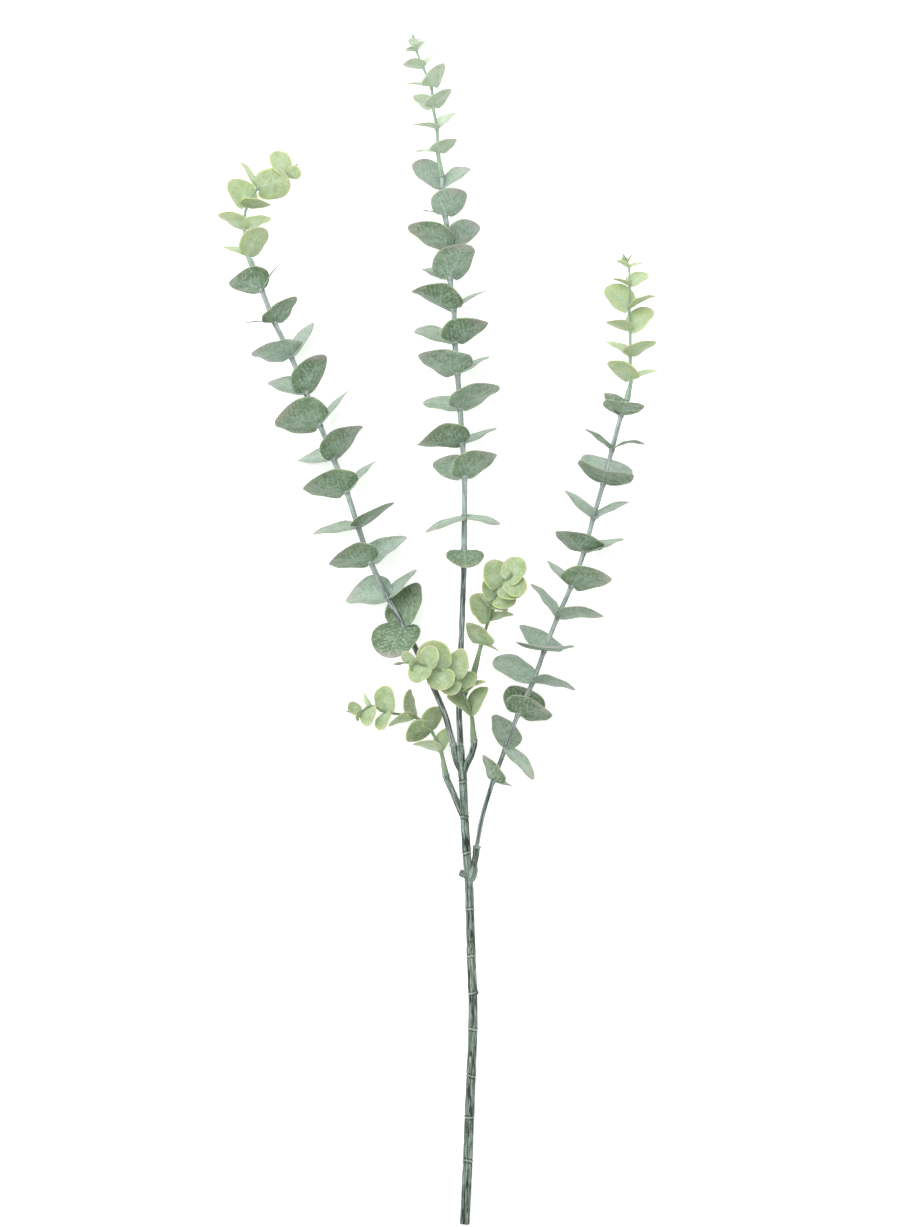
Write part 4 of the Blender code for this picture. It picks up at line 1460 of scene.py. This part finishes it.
def add_peg(skin: Skin, spray: Spray, seed: float) -> None:
    """Add the peg that a spray is pushed over.

    Args:
        skin: The surface that it is added to.
        spray: The spray.
        seed: A number that sets where the finish's pattern starts.
    """
    side = spray.direction.cross(UP).normalized()
    up = side.cross(spray.direction)
    back, inset = PEG_CHAMFER
    stops = (-PEG_ROOT, PEG_LENGTH - back, PEG_LENGTH)
    sizes = (PEG_RADIUS, PEG_RADIUS, PEG_RADIUS - inset)
    rows = [(spray.joint + spray.direction * stop, side, up, size) for stop, size in zip(stops, sizes)]
    ring_rows(skin, rows, stops, [(0.0, 0.6, 0.0)] * 3, PEG_SIDES, seed)


def carried_end(controls: list[Vector], spray: Spray) -> list[Vector]:
    """A stem's control points with two more, so that it ends at the spray's joint and in line with it."""
    return controls + [spray.joint - spray.direction * STRAIGHT_BELOW_JOINT, spray.joint]


def add_twig(skin: Skin, twig: tuple, carried: Spray, seed: float) -> None:
    """Add a bare side twig with a ring and a peg at its end.

    Args:
        skin: The surface that it is added to.
        twig: The twig's control points.
        carried: The spray that it carries.
        seed: A number that sets where the finish's pattern starts.
    """
    controls = carried_end(vectors(twig), carried)
    route = Route.through(controls, [STUB_RADIUS] * len(controls), False, True)
    lengths = route.lengths()
    rows, looks = [], []
    for point, radius, length, side, up in route.steps():
        left = lengths[-1] - length
        ring = end_ring(left)
        rows.append((point, side, up, radius + SIDE_RING * ring))
        # A dark band at the foot of the end ring: painted shade
        looks.append((0.3 * ring, 0.55, 0.5 * bell(left - 2.0, 0.6)))
    ring_rows(skin, rows, lengths, looks, STEM_SIDES, seed)
    add_peg(skin, carried, seed)


@dataclass
class LeafySpray:
    """A leafy stem with its leaves: how it is built, dressed and put in the CAD node's place."""

    spray: Spray
    stem_finish: StemFinish
    leaf_finish: LeafFinish
    dresser: Dresser
    number: int
    carried: Spray | None = None
    twigs: tuple[tuple[tuple, Spray], ...] = ()
    form: LeafForm = LeafForm()
    node_swell: float = 0.45
    node_swell_length: float = 2.6
    mouth_depth: float = 2.4
    mouth_wall: float = 0.55
    mouth_round: float = 0.15
    bud_swell: float = 0.85
    bud_length: float = 4.2
    uneven: float = 0.05
    uneven_length: float = 3.0
    # Where the painted shade beside each leaf pair lies
    node_shade_off: float = 1.3
    node_shade_length: float = 0.9
    mouth_pale: float = 0.5
    mouth_pale_length: float = 1.0
    node_pale: float = 0.3
    node_pale_length: float = 0.8
    pattern_step: float = 130.0
    twig_step: float = 50.0
    leaf_seeds: int = 100

    @property
    def node_shade_share(self) -> float:
        """How dark the painted shade is on the stem beside its leaf pairs."""
        return 0.2 if self.spray.plugs_on else 0.7

    def controls(self) -> tuple[list[Vector], list[float], list[Vector]]:
        """Where the stem runs.

        Returns:
            Its control points and radii, and the way it runs at each leaf pair.
        """
        spray = self.spray
        controls = [spray.joint + spray.direction * place for place in (JOINT_GAP, STRAIGHT_ABOVE_JOINT)]
        controls += vectors(spray.lead[1:])
        first_pair = len(controls)
        controls += [Vector(pair.node) for pair in spray.pairs]
        controls = carried_end(controls, self.carried) if self.carried else controls + [Vector(spray.bud)]
        last = len(controls) - 1
        grow = spray.end_radius - spray.base_radius
        radii = [spray.base_radius + grow * index / last for index in range(last + 1)]
        if spray.plugs_on:
            radii[:2] = [SLEEVE_MOUTH_RADIUS, SLEEVE_MIDDLE_RADIUS]
        places = range(first_pair, first_pair + len(spray.pairs))
        tangents = [(controls[place + 1] - controls[place - 1]).normalized() for place in places]
        return controls, radii, tangents

    def add_stem(self, skin: Skin) -> list[Vector]:
        """Add the round stem, swollen at its leaf pairs and open at its mouth.

        Args:
            skin: The surface that it is added to.

        Returns:
            The way the stem runs at each leaf pair.
        """
        controls, radii, tangents = self.controls()
        route = Route.through(controls, radii, True, self.carried is not None)
        lengths = route.lengths()
        nodes = [Vector(pair.node) for pair in self.spray.pairs]
        rows, looks = [], []
        for point, size, length, side, up in route.steps():
            near = min((point - node).length for node in nodes)
            size += self.node_swell * bell(near, self.node_swell_length)
            if not self.carried:
                left = lengths[-1] - length - self.bud_length
                size += self.bud_swell * bell(left, self.bud_length / 1.6)
            size *= 1 + self.uneven * wander(length / self.uneven_length, self.number)
            rows.append((point, side, up, size))
            # Painted shade: a darker band on either side of each leaf pair
            node_shade = self.node_shade_share * bell(near - self.node_shade_off, self.node_shade_length)
            pale = self.node_pale * bell(near, self.node_pale_length)
            pale = max(self.mouth_pale * bell(length, self.mouth_pale_length), pale)
            looks.append((pale, self.bark_look(point.y), node_shade))
        start, side, up, mouth = rows[0]
        along = route.axes()[0][0]
        lip = (self.mouth_depth, self.mouth_round, 0.0, 0.0, self.mouth_round)
        insets = (self.mouth_wall + 0.1, self.mouth_wall, self.mouth_wall - 0.15, 0.12, 0.0)
        rows[:1] = [(start + along * place, side, up, mouth - inset) for place, inset in zip(lip, insets)]
        # The rows inside the mouth are painted dark: painted shade in the hollow
        looks[:1] = [(0.0, 1.0, 0.6), (0.0, 0.8, 0.3)] + [looks[0]] * 3
        seed = self.number * self.pattern_step
        ring_rows(skin, rows, [*lip, *lengths[1:]], looks, STEM_SIDES, seed)
        if self.carried:
            add_peg(skin, self.carried, seed)
        for twig, carried in self.twigs:
            add_twig(skin, twig, carried, seed + self.twig_step)
        return tangents

    def bark_look(self, place: float) -> float:
        """How dark and rough the stem is at a place up the branch, from 0 to 1."""
        full, gone = self.spray.bark
        return min(max((gone - place) / (gone - full), 0.0), 1.0)

    def build(self) -> list[bpy.types.Object]:
        """Build and dress the stem and the leaves, and put them in the CAD node's place.

        Returns:
            The two pieces.
        """
        spray = self.spray
        stem, leaves = Skin(), Skin()
        seed = self.number * self.leaf_seeds
        for pair, tangent in zip(spray.pairs, self.add_stem(stem)):
            for leaf in (pair.first, pair.second):
                self.form.grow(leaves, Vector(pair.node), tangent, leaf, spray.leaf_width, seed, spray.tone)
                seed += 1
        pieces = []
        for part, skin, finish in (("stem", stem, self.stem_finish), ("leaves", leaves, self.leaf_finish)):
            name = f"{spray.name}_{part}"
            pieces.append(self.dresser.dress(name, skin.mesh(), skin.columns(), finish, spray.name))
        return pieces


@dataclass
class Bar:
    """One of the bars that the bare main stem is made from, with or without a ring at its end."""

    route: Route
    ringed: bool = False


@dataclass
class Spots:
    """Where points lie on the main stem: their bar, the length along it, and two offsets from it."""

    owner: np.ndarray
    length: np.ndarray
    aside: np.ndarray
    above: np.ndarray

    @property
    def angle(self) -> np.ndarray:
        """Each point's turn about its bar."""
        return np.arctan2(self.above, self.aside)


@dataclass
class MainStem:
    """The bare ringed trunk with its fork, side stubs, cut knob and nub."""

    dresser: Dresser
    finish: StemFinish = TRUNK_BARK
    node: str = "main_stem"
    voxel_mm: float = 0.45
    smooth_turns: int = 4
    bar_sides: int = 32
    growth: float = 0.48
    groove_depth: float = 0.34
    groove_size: float = 2.1
    groove_stretch: float = 0.034
    groove_width: float = 0.19
    groove_gap: float = 0.3
    bar_step: float = 13.7
    place_step: float = 400.0
    grain_depth: float = 0.10
    grain_size: float = 4.0
    grain_stretch: float = 0.35
    ring_height: float = 0.45
    ring_length: float = 0.6
    ring_waver: float = 0.5
    # The dark creases beside the rings are painted shadow as well as dents
    shaded_crease_off: float = 1.4
    shaded_crease_length: float = 0.6
    swell_height: float = 0.2
    swell_off: float = 3.5
    swell_length: float = 4.0
    scar_place: float = -250.0
    scar_length: float = 0.8
    scar_angle: float = 1.2
    dust_radius: float = 7.5
    dust_pale: float = 0.35
    side_ring_pale: float = 0.3
    bark_length: float = 300.0
    bark_least: float = 0.2
    bark_gain: float = 0.48
    dent_stretch: float = 1.5
    cut_inset: float = 0.35
    cut_fade: float = 0.4
    cut_depth: float = 0.7

    def bars(self) -> list[Bar]:
        """The bars that the stem is made from.

        Returns:
            The trunk first, then the stubs and the lumps in the order of their tables.
        """
        controls = carried_end(vectors(TRUNK_ROUTE), CENTRE_FROND)
        last = len(controls) - 1
        grow = TRUNK_FORK_RADIUS - TRUNK_END_RADIUS
        radii = [TRUNK_END_RADIUS + grow * index / last for index in range(last)] + [STUB_RADIUS]
        bars = [Bar(Route.through(controls, radii, False, True))]
        for stub, carried, flare in STUBS:
            ends = carried_end(vectors(stub), carried)
            radii = [STUB_RADIUS + flare * (2 * index / len(ends) - 1) for index in range(len(ends))]
            bars.append(Bar(Route.through(ends, radii, False, True), ringed=True))
        for lump, sizes in LUMPS:
            bars.append(Bar(Route.through(vectors(lump), list(sizes), len(lump) == 2, False)))
        return bars

    def rough_shape(self, bars: list[Bar]) -> bpy.types.Mesh:
        """The bars melted into one skin.

        Args:
            bars: The bars.

        Returns:
            The remeshed and smoothed mesh.
        """
        skin = Skin()
        for bar in bars:
            lengths = bar.route.lengths()
            rows = []
            for point, radius, length, side, up in bar.route.steps():
                extra = SIDE_RING * end_ring(lengths[-1] - length) if bar.ringed else 0.0
                rows.append((point, side, up, radius + extra))
            ring_rows(skin, rows, lengths, [(0.0, 0.0, 0.0)] * len(rows), self.bar_sides, 0.0)
        rough = stand("rough", skin.mesh())
        remesh = rough.modifiers.new("melt", "REMESH")
        remesh.mode = "VOXEL"
        remesh.voxel_size = self.voxel_mm * MM
        smooth = rough.modifiers.new("smooth", "SMOOTH")
        smooth.factor = 0.5
        smooth.iterations = self.smooth_turns
        graph = bpy.context.evaluated_depsgraph_get()
        mesh = bpy.data.meshes.new_from_object(rough.evaluated_get(graph))
        bpy.data.objects.remove(rough, do_unlink=True)
        return mesh

    def measure(self, points: np.ndarray, bars: list[Bar]) -> Spots:
        """Find each point's place on its nearest bar.

        Args:
            points: The points, in millimetres.
            bars: The bars.

        Returns:
            The places.
        """
        rows = []
        for number, bar in enumerate(bars):
            steps = bar.route.steps()
            for (start, radius, length, side, up), (end, *_) in zip(steps, steps[1:]):
                rows.append((*start, *end, *side, *up, radius, length, number))
        table = np.array(rows)
        start, end, side, up = table[:, 0:3], table[:, 3:6], table[:, 6:9], table[:, 9:12]
        radius, begin, owner = table[:, 12:].T
        step = end - start
        square = (step**2).sum(axis=1)
        results = []
        for block in np.split(points, range(3000, len(points), 3000)):
            away = block[:, None] - start
            share = np.clip((away * step).sum(axis=2) / square, 0, 1)
            off = away - share[:, :, None] * step
            best = (np.sqrt((off**2).sum(axis=2)) / radius).argmin(axis=1)
            pick = np.arange(len(block))
            gap = off[pick, best]
            length = begin[best] + share[pick, best] * np.sqrt(square[best])
            aside = (gap * side[best]).sum(axis=1)
            above = (gap * up[best]).sum(axis=1)
            results.append((owner[best], length, aside, above))
        return Spots(*(np.concatenate(column) for column in zip(*results)))

    def ring_marks(self, trunk: Route, spots: Spots) -> tuple[np.ndarray, ...]:
        """What the trunk's rings do to the points near them.

        Args:
            trunk: The trunk's route.
            spots: Where the points are.

        Returns:
            How raised, pale, creased and swollen each point is, from 0 to 1 or a little over; the creases
            carry painted shadow.
        """
        ring, pale, shaded_crease, swell = np.zeros((4, len(spots.length)))
        here = spots.owner == 0
        for place, share in RINGS:
            middle = trunk.length_at(place)
            off = spots.length - middle + self.ring_waver * np.sin(spots.angle * 2 + middle)
            raised = bell(off, self.ring_length, 4) * here
            ring = np.maximum(ring, raised)
            pale = np.maximum(pale, raised * share)
            # Painted shadow: a dark, dented crease on either side of each ring
            fold = bell(np.abs(off) - self.shaded_crease_off, self.shaded_crease_length) * here
            shaded_crease = np.maximum(shaded_crease, fold * (1.25 - 0.5 * share))
            swell = np.maximum(swell, bell(off - self.swell_off, self.swell_length) * here)
        facing = np.clip(np.cos(spots.angle - self.scar_angle) * 2.0, 0, 1) * here
        scar = bell(spots.length - trunk.length_at(self.scar_place), self.scar_length)
        return ring, pale, np.maximum(shaded_crease, scar * facing), swell

    def grooves(self, spots: Spots) -> tuple[np.ndarray, np.ndarray]:
        """The lengthwise grooves and the fine grain.

        Args:
            spots: Where the points are.

        Returns:
            The grooves from 0 to 1, and the grain from -1 to 1.
        """
        grooves, grain = [], []
        for owner, length, angle in zip(spots.owner, spots.length, spots.angle):
            x, y = math.cos(angle), math.sin(angle)
            spot = Vector((x * self.groove_size, y * self.groove_size, length * self.groove_stretch))
            spot.x += owner * self.bar_step
            broken = noise(spot * 0.8 + Vector((31.0, 0.0, length * 0.03)))
            line = min(max((self.groove_width - abs(noise(spot * 1.25))) / 0.1, 0.0), 1.0)
            grooves.append(line * min(max((broken + self.groove_gap) / 0.2, 0.0), 1.0))
            fine = Vector((x * self.grain_size, y * self.grain_size, length * self.grain_stretch))
            grain.append(noise(fine))
        return np.array(grooves), np.array(grain)

    def shaded_dents(self, points: np.ndarray, normals: np.ndarray) -> np.ndarray:
        """Darker dents beside the knob and the fork, on the upper side: painted shade.

        Args:
            points: The points, in millimetres.
            normals: The way the surface faces at each.

        Returns:
            How much painted shade each point gets, from 0 to 1.
        """
        dent_shade = np.zeros(len(points))
        for x, y, size in SHADED_DENTS:
            off = np.hypot(points[:, 0] - x, (points[:, 1] - y) / self.dent_stretch)
            dent_shade = np.maximum(dent_shade, bell(off, size) * (normals[:, 2] > 0))
        return dent_shade

    def cut_faces(self, points: np.ndarray, bars: list[Bar]) -> np.ndarray:
        """Mark the flat cut ends of the trunk and of the knob.

        Args:
            points: The points, in millimetres.
            bars: The bars.

        Returns:
            One at the cut faces, and zero elsewhere.
        """
        marks = np.zeros(len(points))
        trunk, knob = bars[0].route.points, bars[KNOB_BAR].route.points
        ends = ((trunk[0], trunk[1], TRUNK_END_RADIUS), (knob[-1], knob[-2], KNOB_RADIUS))
        for end, inward, radius in ends:
            axis = np.array(inward - end)
            axis /= np.linalg.norm(axis)
            away = points - np.array(end)
            depth = away @ axis
            aside = np.linalg.norm(away - depth[:, None] * axis, axis=1)
            inside = np.clip((radius - self.cut_inset - aside) / self.cut_fade, 0, 1)
            marks = np.maximum(marks, inside * (np.abs(depth) < self.cut_depth))
        return marks

    @staticmethod
    def read(mesh: bpy.types.Mesh, name: str) -> np.ndarray:
        """Read three values at each point of a mesh.

        Args:
            mesh: The mesh.
            name: The values' name.

        Returns:
            One row for each point.
        """
        values = np.empty(len(mesh.vertices) * 3)
        mesh.vertices.foreach_get(name, values)
        return values.reshape(-1, 3)

    def build(self) -> list[bpy.types.Object]:
        """Build and dress the stem and its pegs, and put them in the CAD node's place.

        Returns:
            The two pieces.
        """
        bars = self.bars()
        mesh = self.rough_shape(bars)
        points, normals = self.read(mesh, "co") / MM, self.read(mesh, "normal")
        spots = self.measure(points, bars)
        ring, pale, shaded_crease, swell = self.ring_marks(bars[0].route, spots)
        shaded_groove, grain = self.grooves(spots)
        ends = np.zeros(len(points))
        for number, bar in enumerate(bars):
            if bar.ringed:
                raised = end_ring(bar.route.lengths()[-1] - spots.length)
                ends = np.maximum(ends, raised * (spots.owner == number))
        dusty = bell(np.linalg.norm(points - np.array(KNUCKLE[1]), axis=1), self.dust_radius)
        shaded_groove *= (1 - ring) * (1 - ends) * (1 - 0.5 * dusty)
        # The shaded dents join the creases, and both join the grooves: all are dented and painted dark as
        # shade
        shaded_crease = np.maximum(shaded_crease, self.shaded_dents(points, normals))
        shaded_groove = np.maximum(shaded_groove, np.clip(shaded_crease * (0.85 + grain), 0, 1))
        cut = self.cut_faces(points, bars)
        push = ring * self.ring_height - shaded_groove * self.groove_depth + grain * self.grain_depth
        push += swell * self.swell_height + self.growth
        points += normals * (push * (1 - cut))[:, None]
        points[:, 2] = np.maximum(points[:, 2], 0.0)
        mesh.vertices.foreach_set("co", (points * MM).ravel())
        place = np.stack([spots.aside, spots.above, spots.length + spots.owner * self.place_step], axis=1)
        low = np.clip((self.bark_length - spots.length) / self.bark_length, 0, 1)
        rough = self.bark_least + self.bark_gain * low
        pale = np.maximum(np.maximum(pale, ends * self.side_ring_pale), dusty * self.dust_pale)
        shown = np.clip(pale * (0.9 + 0.9 * grain), 0, 1)
        # The third value is painted shade in the grooves, creases and dents, and the dark cut face
        look = np.stack([shown, np.maximum(rough, cut), np.maximum(shaded_groove, cut)], axis=1)
        pegs = Skin()
        for spray in (CENTRE_FROND, *(carried for _, carried, _ in STUBS)):
            add_peg(pegs, spray, 0.0)
        return [
            self.dresser.dress("trunk", mesh, [place, look], self.finish, self.node),
            self.dresser.dress("trunk_pegs", pegs.mesh(), pegs.columns(), self.finish, self.node),
        ]


@dataclass
class Studio:
    """The pale floor, the soft light and the camera that looks straight down."""

    floor_size: float = 14.0
    floor_drop: float = 0.0004
    floor_white: float = 0.92
    floor_glow: float = 0.45
    sky: float = 0.85
    overhead_power: float = 60.0
    overhead_size: float = 2.4
    overhead_place: tuple[float, float, float] = (-0.9, 1.1, 2.4)

    def build(self) -> None:
        """Set up the floor, the lights and the camera."""
        bpy.context.scene.view_settings.view_transform = "Standard"
        self.add_floor()
        self.add_lights()
        self.add_camera()

    def add_floor(self) -> None:
        """Add the pale floor, which is no part of the branch."""
        half = self.floor_size / 2
        mesh = bpy.data.meshes.new("floor")
        corners = [(-half, -half), (half, -half), (half, half), (-half, half)]
        mesh.from_pydata([(x, y, -self.floor_drop) for x, y in corners], [], [(0, 1, 2, 3)])
        material, sheet, shader = new_material("pale_floor")
        white = (self.floor_white, self.floor_white, self.floor_white, 1.0)
        sheet.feed(shader, {"Base Color": white, "Roughness": 0.9, "Specular IOR Level": 0.1})
        sheet.feed(shader, {"Emission Color": (1.0, 1.0, 1.0, 1.0), "Emission Strength": self.floor_glow})
        mesh.materials.append(material)
        floor = stand("floor", mesh)

    def add_lights(self) -> None:
        """Add the even sky and the large soft light overhead."""
        world = bpy.data.worlds.new("sky")
        bpy.context.scene.world = world
        world.use_nodes = True
        backdrop = world.node_tree.nodes["Background"]
        NodeSheet(world.node_tree).feed(backdrop, {"Color": (1.0, 1.0, 1.0, 1.0), "Strength": self.sky})
        light = bpy.data.lights.new("overhead", "AREA")
        light.shape = "DISK"
        light.size = self.overhead_size
        light.energy = self.overhead_power
        lamp = stand("overhead", light)
        lamp.location = self.overhead_place
        lamp.rotation_euler = (-Vector(lamp.location)).to_track_quat("-Z", "Y").to_euler()

    def add_camera(self) -> None:
        """Add the camera, straight above the middle of the photograph's frame."""
        data = bpy.data.cameras.new("camera")
        data.sensor_fit = "VERTICAL"
        data.sensor_height = FILM_HEIGHT_MM
        data.sensor_width = FILM_HEIGHT_MM
        data.lens = FILM_HEIGHT_MM * CAMERA_HEIGHT / (PHOTO_HEIGHT * PIXEL_MM * MM)
        data.clip_end = 100.0
        camera = stand("camera", data)
        middle_x = (PHOTO_WIDTH / 2 - ORIGIN_PIXEL[0]) * PIXEL_MM * MM
        middle_y = (ORIGIN_PIXEL[1] - PHOTO_HEIGHT / 2) * PIXEL_MM * MM
        camera.location = (middle_x, middle_y, MIDDLE_HEIGHT_MM * MM + CAMERA_HEIGHT)
        bpy.context.scene.camera = camera


@dataclass
class Branch:
    """The whole branch: the bare stem, three fronds and six sprigs."""

    dresser: Dresser

    def build(self) -> list[bpy.types.Object]:
        """Build every piece.

        Returns:
            The pieces.
        """
        pieces = MainStem(self.dresser).build()
        fronds = (
            (LEFT_FROND, LEFT_TIP, ()),
            (CENTRE_FROND, CENTRE_TIP, ((SHOOT_TWIG, RIGHT_SHOOT),)),
            (RIGHT_FROND, RIGHT_TIP, ()),
        )
        for number, (spray, carried, twigs) in enumerate(fronds, 1):
            frond_piece = LeafySpray(spray, FROND_STEM, GREY_GREEN, self.dresser, number, carried, twigs)
            pieces += frond_piece.build()
        for number, spray in enumerate(SPRIGS, 1 + len(fronds)):
            stem = TIP_STEM if spray in TIPS else SHOOT_STEM
            leaf = MINT_GREEN if spray is CENTRE_TIP else YELLOW_GREEN
            pieces += LeafySpray(spray, stem, leaf, self.dresser, number).build()
        return pieces


def main() -> None:
    """Build the branch and the studio, and report each piece."""
    logging.basicConfig(level=logging.INFO, format="%(name)s: %(message)s")
    Studio().build()
    pieces = Branch(Dresser(ShaderGroups())).build()
    LOG.info("%d pieces", len(pieces))


if __name__ == "__main__":
    main()
